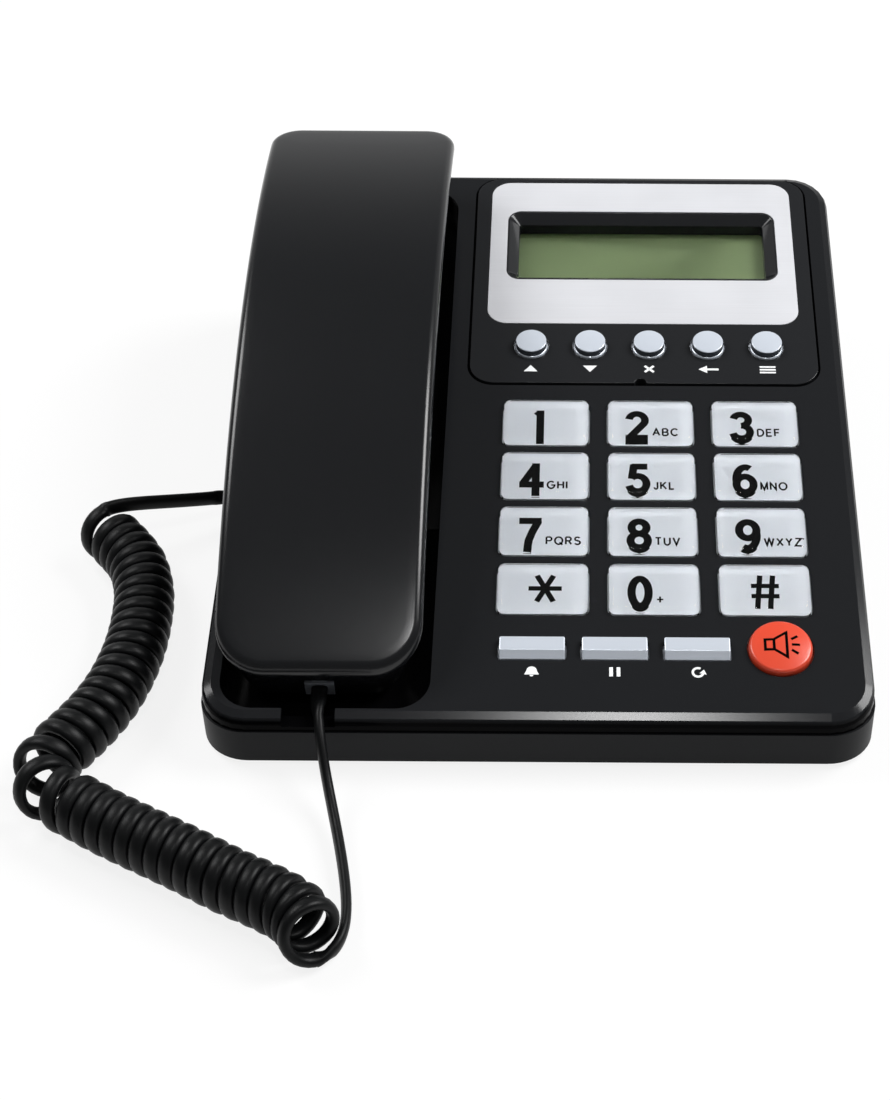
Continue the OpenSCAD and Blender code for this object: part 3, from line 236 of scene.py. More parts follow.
# A blue white moulding, smooth and bright under the cap.
LABEL_ABS = Finish("ABS moulded label white", "#f3f8ff", Surface.PRINTED, 0.45, specular=0.0,
                   grain=0.8, depth=0.001, tone=0.015)
# Grey ABS with a silver lacquer: satin, slightly blue, with soft highlights.
KEY_ABS = Finish("ABS lacquered silver", "#cfd6e0", Surface.MOULDED, 0.2, metallic=0.2, coat=0.2,
                 tone=0.02, **FINE_PEEL)
# A menu key's upright side is a darker grey: painted shade on that side.
NECK_PAINTED_SHADE = Finish("ABS slate grey painted shade", "#4a4f56", Surface.MOULDED, 0.3, specular=0.3, tone=0.03, **FINE_PEEL)
# Coloured through and polished: a warm red with a soft gloss.
RED_ABS = Finish("ABS moulded signal red", "#d8472d", Surface.MOULDED, 0.3, coat=0.1,
                 grain=1.5, depth=0.0004, tone=0.03)
# Black and white screen print, dull and nearly even.
BLACK_INK = Finish("ink printed black", "#070808", Surface.PRINTED, 0.6, specular=0.0, tone=0.2, **MESH)
WHITE_INK = Finish("ink printed white", "#f0f2f3", Surface.PRINTED, 0.5, tone=0.03, **MESH)
# A reflective liquid crystal cell: grey green, with a faint cloud.
LCD_CELL = Finish("glass cell grey green", "#9fb287", Surface.GLASS_CELL, 0.4, specular=0.2,
                  grain=0.5, depth=0.0005, tone=0.02)
# Soft PVC as it leaves the die: semi matt, with faint lines along the cord.
CORD_PVC = Finish("PVC extruded black", "#0b0c0d", Surface.EXTRUDED, 0.42, specular=0.16,
                  grain=1.2, depth=0.004, tone=0.15)
# Soft rubber, dull and a little dusty.
FOOT_RUBBER = Finish("rubber moulded black", "#101111", Surface.ERODED, 0.7, specular=0.3, depth=0.02, tone=0.2)
# Zinc plated steel with turning marks.
STEEL = Finish("steel zinc plated", "#b9bcbf", Surface.TURNED, 0.32, metallic=1.0, grain=0.4, depth=0.004, tone=0.06)
# Frosted grey polycarbonate that lets a little light through.
PLUG_PC = Finish("polycarbonate moulded smoke", "#868b92", Surface.MOULDED, 0.22, transmission=0.2, ior=1.58,
                 grain=0.5, depth=0.001, tone=0.04)
# Glass filled PBT, black and light grey: dull, with a fine grit.
JACK_PBT = Finish("PBT moulded black", "#1a1b1c", Surface.ERODED, 0.45, tone=0.1, **GRIT)
SOCKET_PBT = Finish("PBT moulded light grey", "#c9cac6", Surface.ERODED, 0.45, tone=0.05, **GRIT)
# Dull elastic mat inside the case.
MAT_SILICONE = Finish("silicone moulded grey", "#8f949a", Surface.ERODED, 0.6, depth=0.004, tone=0.06)
# Lacquered resin board with the weave just showing.
BOARD_RESIN = Finish("resin board lacquered green", "#2f6b45", Surface.PRINTED, 0.35, grain=0.9, depth=0.004, tone=0.15)
# Enamelled speaker basket, half dull.
SPEAKER_STEEL = Finish("steel enamelled black", "#34373a", Surface.TURNED, 0.5, grain=0.8, depth=0.006, tone=0.1)
# Dull nylon of the hook switch.
SWITCH_NYLON = Finish("nylon moulded dark blue", "#26384a", Surface.ERODED, 0.5, depth=0.004)
# Drawn capsules with fine lines round them.
CAPSULE_ALUMINIUM = Finish("aluminium drawn capsule", "#8d9094", Surface.TURNED, 0.35, metallic=1.0,
                           depth=0.003, tone=0.06)
# Seamless white paper, dull and even.
FLOOR_PAPER = Finish("paper seamless white", "#f5f5f5", Surface.PRINTED, 0.9, specular=0.0,
                     grain=2.0, depth=0.002, tone=0.004)


@dataclass(frozen=True)
class Slope:
    """The keypad surface's own frame: x to the right, u up the slope, n square to it."""

    angle: float = math.radians(9.5)
    front_y: float = -102.55
    front_z: float = 16.4

    def matrix(self, x: float = 0.0, u: float = 0.0, n: float = 0.0) -> Matrix:
        """Gives the change from millimetres on the slope to metres in the telephone's frame.

        Args:
            x: Place to the right.
            u: Place up the slope.
            n: Height above the surface.

        Returns:
            The matrix, with the place as its own origin.
        """
        turn = Matrix.Translation((0, self.front_y, self.front_z)) @ Matrix.Rotation(self.angle, 4, "X")
        return Matrix.Scale(MM, 4) @ turn @ Matrix.Translation((x, u, n))


SLOPE = Slope()


@dataclass
class Shape:
    """Points and faces of a mesh in the making."""

    points: list[Point] = field(default_factory=list)
    faces: list[tuple[int, ...]] = field(default_factory=list)

    def ring(self, outline: Sequence[Flat], height: float) -> list[int]:
        """Adds a level ring of points, anticlockwise from above, and returns their numbers."""
        return self.ring3([(x, y, height) for x, y in outline])

    def ring3(self, places: Sequence[Point]) -> list[int]:
        """Adds a ring of points in space and returns their numbers."""
        self.points.extend(places)
        return list(range(len(self.points) - len(places), len(self.points)))

    def wall(self, low: Sequence[int], high: Sequence[int]) -> None:
        """Joins two rings by a wall that faces away from their middle when high is above low."""
        turned = [*range(1, len(low)), 0]
        self.faces.extend((low[i], low[j], high[j], high[i]) for i, j in enumerate(turned))

    def lid(self, ring: Sequence[int], up: bool = True) -> None:
        """Closes a ring by one face that points up or down."""
        self.faces.append(tuple(ring) if up else tuple(reversed(ring)))

    def stack(self, rings: Sequence[Sequence[int]]) -> None:
        """Joins rings in turn, from the lowest up."""
        for low, high in zip(rings, rings[1:]):
            self.wall(low, high)

    def solid(self, rings: Sequence[Sequence[int]]) -> None:
        """Joins rings in turn and closes both ends.

        Args:
            rings: The rings' points, from the lowest up.
        """
        self.lid(rings[0], up=False)
        self.stack(rings)
        self.lid(rings[-1])

    def piece(self, name: str, finish: Finish, place: Matrix, sharp: float = 40.0) -> Piece:
        """Makes the mesh object, with its place in its mesh.

        Args:
            name: The piece's name.
            finish: Its finish.
            place: The change from the shape's own lengths to metres.
            sharp: The angle in degrees above which an edge stays sharp.

        Returns:
            The new object, linked to the scene.
        """
        mesh = bpy.data.meshes.new(name)
        mesh.from_pydata([place @ Vector(p) for p in self.points], [], self.faces)
        mesh.validate()
        return finished(name, mesh, finish, sharp)


def finished(name: str, mesh: bpy.types.Mesh, finish: Finish, sharp: float) -> Piece:
    """Links a mesh as a piece with its finish and smooth shading.

    Args:
        name: The piece's name.
        mesh: The mesh, with its place in it.
        finish: Its finish.
        sharp: The angle in degrees above which an edge stays sharp.

    Returns:
        The new object.
    """
    mesh.name = name
    mesh.materials.clear()
    mesh.materials.append(finish.material())
    for face in mesh.polygons:
        face.material_index = 0
    mesh.shade_smooth()
    mesh.set_sharp_from_angle(angle=math.radians(sharp))
    made = bpy.data.objects.new(name, mesh)
    bpy.context.scene.collection.objects.link(made)
    return made


def settled(piece: Piece) -> Piece:
    """Turns a piece's modifiers into its plain mesh.

    Args:
        piece: A piece with live modifiers.

    Returns:
        The same piece, with a plain mesh.
    """
    shaped = piece.evaluated_get(bpy.context.evaluated_depsgraph_get())
    mesh = bpy.data.meshes.new_from_object(shaped)
    mesh.name = piece.name
    piece.modifiers.clear()
    piece.data = mesh
    return piece


# Points of a CAD mesh closer than this, in metres, are one, and faces this near to level, in degrees, are one.
WELD = 2e-6
LEVEL = 0.6
# An edge is rounded from this angle, in degrees, in this many steps, and large faces keep their shading.
EDGE_ANGLE = 35.0
EDGE_STEPS = 3
FACE_WEIGHT = 80


def softened(node: str, finish: Finish, width: float, slot: str, crease: float = 180.0) -> Piece:
    """Stands for a CAD node by a copy with rounded edges.

    Args:
        node: The CAD node's name.
        finish: The copy's finish.
        width: The edges' rounding, in millimetres.
        slot: The record's material slot.
        crease: The angle in degrees from which a lesser edge stays crisp.

    Returns:
        The new piece, which rides on the node's body.
    """
    mesh = frame["nodes"][node].data.copy()
    shell = bmesh.new()
    shell.from_mesh(mesh)
    bmesh.ops.remove_doubles(shell, verts=shell.verts, dist=WELD)
    bmesh.ops.dissolve_limit(shell, angle_limit=math.radians(LEVEL), verts=shell.verts, edges=shell.edges)
    shell.to_mesh(mesh)
    shell.free()
    piece = finished(f"{node}_dressed", mesh, finish, crease)
    bevel = piece.modifiers.new("edges", "BEVEL")
    bevel.limit_method = "ANGLE"
    bevel.angle_limit = math.radians(EDGE_ANGLE)
    bevel.width = width * MM
    bevel.segments = EDGE_STEPS
    shading = piece.modifiers.new("shading", "WEIGHTED_NORMAL")
    shading.weight = FACE_WEIGHT
    shading.keep_sharp = True
    return stand_in(settled(piece), slot, node)


def stand_in(piece: Piece, slot: str, *nodes: str) -> Piece:
    """Lets a piece ride on its CAD nodes' body and stand for them.

    Args:
        piece: The finished piece.
        slot: The record's material slot; not used.
        nodes: The CAD nodes, all of one body.

    Returns:
        The piece.
    """
    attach(piece, frame["nodes"][nodes[0]]["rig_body"])
    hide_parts(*nodes)
    LOG.info("%s stands for %s", piece.name, ", ".join(nodes))
    return piece


def rides(piece: Piece, body: str) -> None:
    """Adds a piece to a body.

    Args:
        piece: The finished piece.
        body: The body that carries it.
    """
    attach(piece, body)
    LOG.info("%s rides on %s", piece.name, body)


def arc(x: float, y: float, rx: float, ry: float, start: float, stop: float, steps: int = 20) -> list[Flat]:
    """Gives the points of an elliptical arc.

    Args:
        x: Middle in x.
        y: Middle in y.
        rx: Radius in x.
        ry: Radius in y.
        start: First angle in degrees.
        stop: Last angle in degrees.
        steps: Steps along the arc.

    Returns:
        The points, from start to stop.
    """
    angles = [math.radians(start + (stop - start) * i / steps) for i in range(steps + 1)]
    return [(x + rx * math.cos(a), y + ry * math.sin(a)) for a in angles]


def rounded(width: float, length: float, radius: float) -> list[Flat]:
    """Gives a rectangle with round corners, anticlockwise.

    Args:
        width: Size in x.
        length: Size in y.
        radius: Corner radius.

    Returns:
        The outline's points.
    """
    points = []
    x, y = width / 2 - radius, length / 2 - radius
    for corner, (sx, sy) in enumerate(((1, 1), (-1, 1), (-1, -1), (1, -1))):
        points += arc(sx * x, sy * y, radius, radius, 90 * corner, 90 * corner + 90, 5)
    return points


# Ends of a line closer than this, in millimetres, meet, and a sharp corner's points reach out only so far.
MEET = 1e-6
MITRE = 0.45


def stroke(line: Sequence[Flat], width: float, step: float = 0.4) -> Shape:
    """Draws a line of even width as a flat strip, closed if the line's ends meet.

    Args:
        line: The line's points.
        width: The strip's width.
        step: The longest stretch between points.

    Returns:
        The strip, at height zero.
    """
    closed = math.dist(line[0], line[-1]) < MEET
    dense: list[Vector] = []
    for a, b in zip(line, line[1:]):
        start, stop = Vector(a), Vector(b)
        count = max(1, math.ceil((stop - start).length / step))
        dense.extend(start.lerp(stop, i / count) for i in range(count))
    if not closed:
        dense.append(Vector(line[-1]))
    shape = Shape()
    count = len(dense)
    for i, p in enumerate(dense):
        before = dense[i - 1] if closed or i > 0 else None
        after = dense[(i + 1) % count] if closed or i < count - 1 else None
        ways = [(q - r).normalized() for q, r in ((p, before), (after, p)) if q is not None and r is not None]
        normals = [Vector((-w.y, w.x)) for w in ways]
        side = sum(normals, Vector((0, 0))).normalized()
        reach = width / 2 / max(MITRE, side.dot(normals[0]))
        shape.points.extend((p.x + way * side.x * reach, p.y + way * side.y * reach, 0.0) for way in (1, -1))
    for i in range(count if closed else count - 1):
        a, b = 2 * i, 2 * ((i + 1) % count)
        shape.faces.append((a, a + 1, b + 1, b))
    return shape


def patch(outline: Sequence[Flat]) -> Shape:
    """Gives a flat filled outline, anticlockwise, at height zero.

    Args:
        outline: The outline's points.

    Returns:
        The face.
    """
    shape = Shape()
    shape.lid(shape.ring(outline, 0.0))
    return shape


def joined(parts: Sequence[Shape]) -> Shape:
    """Puts several shapes together as one.

    Args:
        parts: The shapes.

    Returns:
        The whole.
    """
    whole = Shape()
    for part in parts:
        start = len(whole.points)
        whole.points.extend(part.points)
        whole.faces.extend(tuple(start + i for i in f) for f in part.faces)
    return whole


def moved(shape: Shape, x: float, y: float, rise: Callable[[float, float], float] | float = 0.0) -> Shape:
    """Shifts a flat shape and lays it at a height, or on a surface.

    Args:
        shape: The flat shape.
        x: Shift in x.
        y: Shift in y.
        rise: A height, or a function that gives the height at a place.

    Returns:
        The moved shape.
    """
    lift = rise if callable(rise) else (lambda a, b: rise)
    return Shape([(p[0] + x, p[1] + y, lift(p[0] + x, p[1] + y)) for p in shape.points], shape.faces)


@dataclass
class Numerals:
    """Bold plain figures drawn with strokes of even width; lengths in millimetres."""

    width: float = 6.9
    height: float = 11.2
    weight: float = 2.2

    def lines(self, name: str) -> list[list[Flat]]:
        """Gives a figure's middle lines in a unit box.

        Args:
            name: The figure.

        Returns:
            The lines; the ends of a closed one meet.
        """
        ring, tail = arc(0.5, 0.31, 0.5, 0.31, 0, 360, 36), arc(0.56, 0.5, 0.56, 0.5, 188, 62)
        figures = {
            "1": [[(0.55, -0.12), (0.55, 1.12)], [(0.5, 1), (0.32, 0.9)]],
            "2": [arc(0.48, 0.73, 0.48, 0.27, 172, -32) + [(0.1, 0.06)], [(-0.22, 0), (1.12, 0)]],
            "3": [arc(0.46, 0.765, 0.45, 0.235, 168, -90), arc(0.46, 0.265, 0.52, 0.265, 90, -168)],
            "4": [[(0.74, -0.108), (0.74, 1.108)], [(0.7, 0.98), (0, 0.3)], [(-0.22, 0.25), (1.22, 0.25)]],
            "5": [[(0.12, 1), (1.05, 1)], [(0.26, 1.08), (0.12, 0.5)], arc(0.46, 0.31, 0.52, 0.31, 132, -165)],
            "6": [ring, tail],
            "7": [[(-0.15, 1), (1.14, 1)], [(0.96, 1), (0.62, 0.58), (0.42, 0.25), (0.34, -0.108)]],
            "8": [arc(0.5, 0.765, 0.43, 0.235, 0, 360, 32), arc(0.5, 0.265, 0.5, 0.265, 0, 360, 36)],
            "9": [[(1 - x, 1 - y) for x, y in line] for line in (ring, tail)],
            "0": [arc(0.5, 0.5, 0.48, 0.5, 0, 360, 48)],
        }
        return figures[name]

    def figure(self, name: str) -> Shape:
        """Draws a figure with its foot on y = 0 and its middle on x = 0."""
        w, h, b = self.width - self.weight, self.height - self.weight, self.weight
        return joined([stroke([((x - 0.5) * w, y * h + b / 2) for x, y in line], b) for line in self.lines(name)])


@dataclass
class SmallLetters:
    """Plain capitals drawn with thin strokes of even width; lengths in millimetres."""

    height: float = 2.95
    weight: float = 0.5
    squeeze: float = 0.86
    gap: float = 0.42
    step: float = 0.15

    def lines(self, name: str) -> list[list[Flat]]:
        """Gives a letter's middle lines at a height of one.

        Args:
            name: The letter, or a plus sign.

        Returns:
            The lines; the ends of a closed one meet.
        """
        stem = [(0, 0), (0, 1)]
        bowl = [(0, 1), (0.38, 1)] + arc(0.38, 0.74, 0.27, 0.26, 90, -90) + [(0, 0.48)]
        ring = arc(0.48, 0.5, 0.48, 0.5, 0, 360, 36)
        letters = {
            "A": [[(0, 0), (0.42, 1), (0.84, 0)], [(0.15, 0.34), (0.69, 0.34)]],
            "B": [stem, bowl, [(0, 0.48), (0.4, 0.48)] + arc(0.4, 0.24, 0.3, 0.24, 90, -90) + [(0, 0)]],
            "C": [arc(0.46, 0.5, 0.46, 0.5, 42, 318)],
            "D": [stem, [(0, 1), (0.3, 1)] + arc(0.3, 0.5, 0.46, 0.5, 90, -90) + [(0, 0)]],
            "E": [[(0.62, 1), (0, 1), (0, 0), (0.64, 0)], [(0, 0.52), (0.57, 0.52)]],
            "F": [[(0.6, 1), (0, 1), (0, 0)], [(0, 0.5), (0.53, 0.5)]],
            "G": [arc(0.47, 0.5, 0.47, 0.5, 45, 350) + [(0.93, 0.47), (0.5, 0.47)]],
            "H": [stem, [(0.7, 0), (0.7, 1)], [(0, 0.52), (0.7, 0.52)]],
            "I": [stem],
            "J": [[(0.42, 1)] + arc(0.21, 0.23, 0.21, 0.23, 0, -180)],
            "K": [stem, [(0.66, 1), (0, 0.34)], [(0.22, 0.55), (0.7, 0)]],
            "L": [[(0, 1), (0, 0), (0.55, 0)]],
            "M": [[(0, 0), (0, 1), (0.4, 0), (0.8, 1), (0.8, 0)]],
            "N": [[(0, 0), (0, 1), (0.7, 0), (0.7, 1)]],
            "O": [ring],
            "P": [stem, bowl],
            "Q": [ring, [(0.58, 0.26), (0.96, -0.06)]],
            "R": [stem, bowl, [(0.36, 0.48), (0.7, 0)]],
            "S": [arc(0.33, 0.75, 0.3, 0.25, 25, 270) + arc(0.33, 0.25, 0.33, 0.25, 90, -155)],
            "T": [[(0, 1), (0.7, 1)], [(0.35, 1), (0.35, 0)]],
            "U": [[(0, 1)] + arc(0.35, 0.34, 0.35, 0.34, 180, 360) + [(0.7, 1)]],
            "V": [[(0, 1), (0.39, 0), (0.78, 1)]],
            "W": [[(0, 1), (0.29, 0), (0.58, 1), (0.87, 0), (1.16, 1)]],
            "X": [[(0, 0), (0.72, 1)], [(0, 1), (0.72, 0)]],
            "Y": [[(0, 1), (0.36, 0.45), (0.72, 1)], [(0.36, 0.45), (0.36, 0)]],
            "Z": [[(0.02, 1), (0.7, 1), (0, 0), (0.72, 0)]],
            "+": [[(0, 0.5), (0.8, 0.5)], [(0.4, 0.1), (0.4, 0.9)]],
        }
        return letters[name]

    def word(self, letters: str) -> Shape:
        """Draws letters in a row, with their foot on y = 0 and their left end on x = 0.

        Args:
            letters: The letters.

        Returns:
            The row, at height zero.
        """
        parts, start, tall, half = [], 0.0, self.height - self.weight, self.weight / 2
        for name in letters:
            lines = self.lines(name)
            for line in lines:
                points = [(start + half + x * tall * self.squeeze, y * tall + half) for x, y in line]
                parts.append(stroke(points, self.weight, self.step))
            reach = max(x for line in lines for x, _ in line)
            start += reach * tall * self.squeeze + self.weight + self.gap
        return joined(parts)


@dataclass
class NumberKeys:
    """Twelve keys: a thick clear cap over a white base that carries a printed figure."""

    width: float = 23.9
    length: float = 16.3
    corner: float = 1.8
    crown_corner: float = 1.0
    label_corner: float = 1.3
    rise: float = 2.2
    bevel: float = 1.1
    wall: float = 0.45
    play: float = 0.05
    top: float = 2.4
    bond: float = 0.03
    ink: float = 0.05
    flange: float = -2.5
    flange_gap: float = 0.02
    flange_t: float = 1.2
    flange_w: float = 0.9
    middle_x: float = 30.15
    first_u: float = 42.3
    pitch_x: float = 29.4
    pitch_u: float = 19.8
    foot: float = -6.9
    figure_x: float = -3.7
    lone_figure_x: float = -1.9
    letter_foot: float = -5.1
    letter_x: float = 0.45
    star_weight: float = 1.5
    hash_weight: float = 1.45
    cap_sharp: float = 24.0
    numerals: Numerals = field(default_factory=Numerals)
    small: SmallLetters = field(default_factory=SmallLetters)
    letters: tuple[str, ...] = ("", "ABC", "DEF", "GHI", "JKL", "MNO", "PQRS", "TUV", "WXYZ", "", "+", "")
    names: tuple[str, ...] = ("1", "2", "3", "4", "5", "6", "7", "8", "9", "star", "0", "hash")

    def place(self, i: int) -> Matrix:
        """Gives the place of one key, counted from the top left."""
        return SLOPE.matrix(self.middle_x + (i % 3 - 1) * self.pitch_x, self.first_u + (3 - i // 3) * self.pitch_u)

    def drawn(self, inset: float, corner: float) -> list[Flat]:
        """Gives a key's outline, drawn in by an inset."""
        return rounded(self.width - 2 * inset, self.length - 2 * inset, corner)

    def cap(self) -> Shape:
        """Shapes a clear cap: a block with bevelled edges and a faint crown, hollow below.

        Returns:
            The closed shell, about its own middle.
        """
        shape = Shape()
        steps = ((0.0, 1.25), (0.05, 1.14), (0.12, 1.05), (self.bevel, 0.07), (self.bevel + 0.1, 0.03),
                 (2.2, 0.01), (5.0, 0.0))
        profile = [(0.0, self.flange)] + [(inset, self.rise - drop) for inset, drop in steps]
        outer = [shape.ring(self.drawn(inset, max(self.crown_corner, self.corner - inset / 2)), height)
                 for inset, height in profile]
        shape.stack(outer)
        shape.lid(outer[-1])
        inner = [list(reversed(shape.ring(self.drawn(self.wall, self.corner - self.wall), height)))
                 for height in (self.flange, self.rise - self.top)]
        shape.stack(inner)
        shape.lid(inner[-1])
        shape.wall(list(reversed(outer[0])), inner[0])
        return shape

    def base(self) -> Shape:
        """Shapes a white key base with its flange; its top is bonded into the cap's ceiling.

        Returns:
            The closed solid, about its own middle.
        """
        shape = Shape()
        wide = self.drawn(-self.flange_w, self.corner)
        slim = self.drawn(self.wall + self.play, self.label_corner)
        low, seat, top = self.flange - self.flange_t, self.flange - self.flange_gap, self.rise - self.top + self.bond
        shape.solid([shape.ring(outline, height) for outline, height in
                     ((wide, low), (wide, seat), (slim, seat), (slim, top))])
        return shape

    def figure(self, i: int) -> Shape:
        """Draws a key's figure and its small letters.

        Args:
            i: The key's number, counted from the top left.

        Returns:
            The flat print, a hair above the base's top.
        """
        height = self.rise - self.top + self.ink
        if self.names[i] == "star":
            arms = [stroke(arc(0, 0, 4.4, 5.0, a, a + 180, 1), self.star_weight) for a in (0, 60, 120)]
            return moved(joined(arms), 0.6, -0.2, height)
        if self.names[i] == "hash":
            bars = [stroke([(x - 0.5, -5.2), (x + 0.5, 5.2)], self.hash_weight) for x in (-1.7, 1.7)]
            bars += [stroke([(-3.7, y), (3.7, y)], self.hash_weight) for y in (-1.7, 1.7)]
            return moved(joined(bars), 0.0, -0.6, height)
        x = self.lone_figure_x if i == 0 else self.figure_x
        parts = [moved(self.numerals.figure(self.names[i]), x, self.foot)]
        if self.letters[i]:
            parts.append(moved(self.small.word(self.letters[i]), self.letter_x, self.letter_foot))
        return moved(joined(parts), 0.0, 0.0, height)

    def dress(self) -> None:
        """Makes all the caps, bases and figures."""
        cap, base = self.cap(), self.base()
        for i, name in enumerate(self.names):
            place = self.place(i)
            stand_in(cap.piece(f"clear_cap_{name}", CAP_ACRYLIC, place, self.cap_sharp), "key_clear", f"cap_{name}")
            stand_in(base.piece(f"label_base_{name}", LABEL_ABS, place), "key_label", f"key_{name}")
            rides(self.figure(i).piece(f"figure_{name}", BLACK_INK, place), f"button_{name}")


@dataclass
class FunctionKeys:
    """The round menu keys, the bar keys and the red loudspeaker key, with their printed signs."""

    menu_d: float = 9.5
    menu_pitch: float = 17.1
    menu_x: float = 30.15
    menu_u: float = 132.05
    menu_top: float = 2.9
    menu_round: float = 0.25
    menu_sign_drop: float = 9.1
    bar_w: float = 17.0
    bar_l: float = 6.2
    bar_pitch: float = 21.4
    bar_x: float = 19.65
    bar_u: float = 22.6
    bar_top: float = 1.8
    bar_sharp: float = 25.0
    bar_sign_drop: float = 6.9
    red_d: float = 16.7
    red_x: float = 62.65
    red_u: float = 23.2
    red_top: float = 2.3
    red_round: float = 0.9
    red_crown: float = 0.6
    flange_w: float = 0.9
    ink: float = 0.03
    panel_step: float = 0.4
    sign_weight: float = 0.75
    menu_names: tuple[str, ...] = ("up", "down", "erase", "back", "menu")
    bar_names: tuple[str, ...] = ("ring", "pause", "redial")

    def turned(self, profile: Sequence[Flat]) -> Shape:
        """Turns a profile of radius and height, from the lowest ring up, into a closed solid.

        Args:
            profile: The radius and height of each ring.

        Returns:
            The solid, about its own middle.
        """
        shape = Shape()
        shape.solid([shape.ring(arc(0, 0, r, r, 0, 360, 48)[:-1], h) for r, h in profile])
        return shape

    def menu_key(self) -> Shape:
        """Shapes a menu key: a low skirt, an upright side and a crowned button with a round edge.

        Returns:
            The closed solid, about its own middle.
        """
        r, top, edge = self.menu_d / 2, self.menu_top, self.menu_round
        skirt = [(r + self.flange_w, -3.5), (r + self.flange_w, -2.3), (r, -2.3), (r, 0.3), (r - 0.08, 0.46),
                 (r - 0.2, 0.54), (r - 0.3, 0.57), (r - 0.32, 0.6)]
        crown = [(r * 0.7, top - 0.16), (r * 0.45, top - 0.06), (r * 0.2, top - 0.01), (r * 0.05, top)]
        return self.turned(skirt + arc(r - 0.32 - edge, top - 0.5, edge, edge, 0, 90, 6) + crown)

    def menu_neck(self) -> Shape:
        """Shapes the thin band round a menu key's upright side, whose darker grey is painted shade."""
        inner, outer = self.menu_d / 2 - 0.4, self.menu_d / 2 - 0.29
        return self.turned([(inner, 0.58), (outer, 0.6), (outer, self.menu_top - 0.48), (inner, self.menu_top - 0.44)])

    def red_key(self) -> Shape:
        """Shapes the loudspeaker key: a low drum with a round edge and a slight crown.

        Returns:
            The closed solid, about its own middle.
        """
        r, shoulder, edge = self.red_d / 2, self.red_top - 1.9, self.red_round
        drum = [(r + self.flange_w, -3.7), (r + self.flange_w, -2.5), (r, -2.5), (r, shoulder)]
        crown = [(radius, self.crown(radius, 0.0)) for radius in (6.6, 5.4, 4.0, 2.6, 1.2, 0.3)]
        return self.turned(drum + arc(r - edge, shoulder, edge, 1.3, 15, 90, 5) + crown)

    def crown(self, x: float, y: float) -> float:
        """Gives the red key's top height at a place on it."""
        reach = math.hypot(x, y) / (self.red_d / 2 - self.red_round)
        return self.red_top - self.red_crown * reach * reach

    def bar_key(self) -> Shape:
        """Shapes a bar key: a flat back half and a front half that slopes down, with rounded ends.

        Returns:
            The closed solid and its flange, about the key's own middle.
        """
        shape, flange = Shape(), Shape()
        half, top = self.bar_l / 2, self.bar_top
        profile = [(-half, -2.5), (-half, top - 1.6), (-half + 0.05, top - 1.54), (-half + 0.12, top - 1.48),
                   (-1.36, top - 0.13), (-1.3, top - 0.07), (-1.2, top - 0.02), (-1.1, top), (-1.0, top),
                   (half - 0.45, top), (half - 0.4, top), (half - 0.1, top - 0.12), (half, top - 0.4), (half, -2.5)]
        right = [(self.bar_w / 2 - back, inset) for back, inset in ((0, 0.25), (0.08, 0.1), (0.3, 0), (0.36, 0))]
        left = [(-x, inset) for x, inset in reversed(right)]
        shape.solid([shape.ring3([(x, y * (1 - inset / half), z if z < 0 else z - inset) for y, z in profile])
                     for x, inset in right + left])
        wide = rounded(self.bar_w + 2 * self.flange_w, self.bar_l + 2 * self.flange_w, 0.8)
        flange.solid([flange.ring(wide, height) for height in (-3.7, -2.5)])
        return joined([shape, flange])

    def menu_signs(self) -> list[Shape]:
        """Draws the white signs that stand below the menu keys.

        Returns:
            Two triangles, a cross, an arrow and three bars, in the keys' order.
        """
        cross = joined([stroke([(-1.3, -y), (1.3, y)], self.sign_weight) for y in (1.2, -1.2)])
        arrow = joined([stroke([(-0.6, 0), (2.9, 0)], self.sign_weight),
                        patch([(-2.9, 0), (-0.4, -1.45), (-0.4, 1.45)])])
        bars = joined([stroke([(-2.3, y), (2.3, y)], 0.6) for y in (-1.1, 0.0, 1.1)])
        up, down = patch([(-2, -1.2), (2, -1.2), (0, 1.3)]), patch([(-2, 1.2), (0, -1.3), (2, 1.2)])
        return [up, down, cross, arrow, bars]

    def bar_signs(self) -> list[Shape]:
        """Draws the white signs that stand below the bar keys.

        Returns:
            A bell, a pause and a repeat arrow, in the keys' order.
        """
        dome, clapper = arc(0, 0.2, 1.35, 1.35, 0, 180, 9), arc(0, -1.15, 0.5, 0.5, 180, 360, 6)
        bell = joined([patch(dome + [(-1.9, -1), (1.9, -1)]), patch(clapper)])
        pause = joined([stroke([(x, -1.45), (x, 1.45)], 0.95) for x in (-0.95, 0.95)])
        turn = stroke(arc(0, 0, 1.35, 1.35, 60, 345, 19), 0.65)
        return [bell, pause, joined([turn, patch([(0.35, -0.25), (2.2, -0.7), (1.55, 0.85)])])]

    def red_sign(self) -> Shape:
        """Draws the black loudspeaker sign on the red key.

        Returns:
            A box, a horn and three rays, on the key's crown.
        """
        lines = [[(-4.4, -1.6), (-2.1, -1.6), (-2.1, 1.6), (-4.4, 1.6), (-4.4, -1.6)],
                 [(-2.1, 1.6), (1.2, 3.9), (1.2, -3.9), (-2.1, -1.6)],
                 [(2.5, 0), (4.6, 0)], [(2.4, 1.7), (4.1, 2.8)], [(2.4, -1.7), (4.1, -2.8)]]
        sign = joined([stroke(line, self.sign_weight) for line in lines])
        return moved(sign, 0.3, 0.0, lambda x, y: self.crown(x, y) + self.ink)

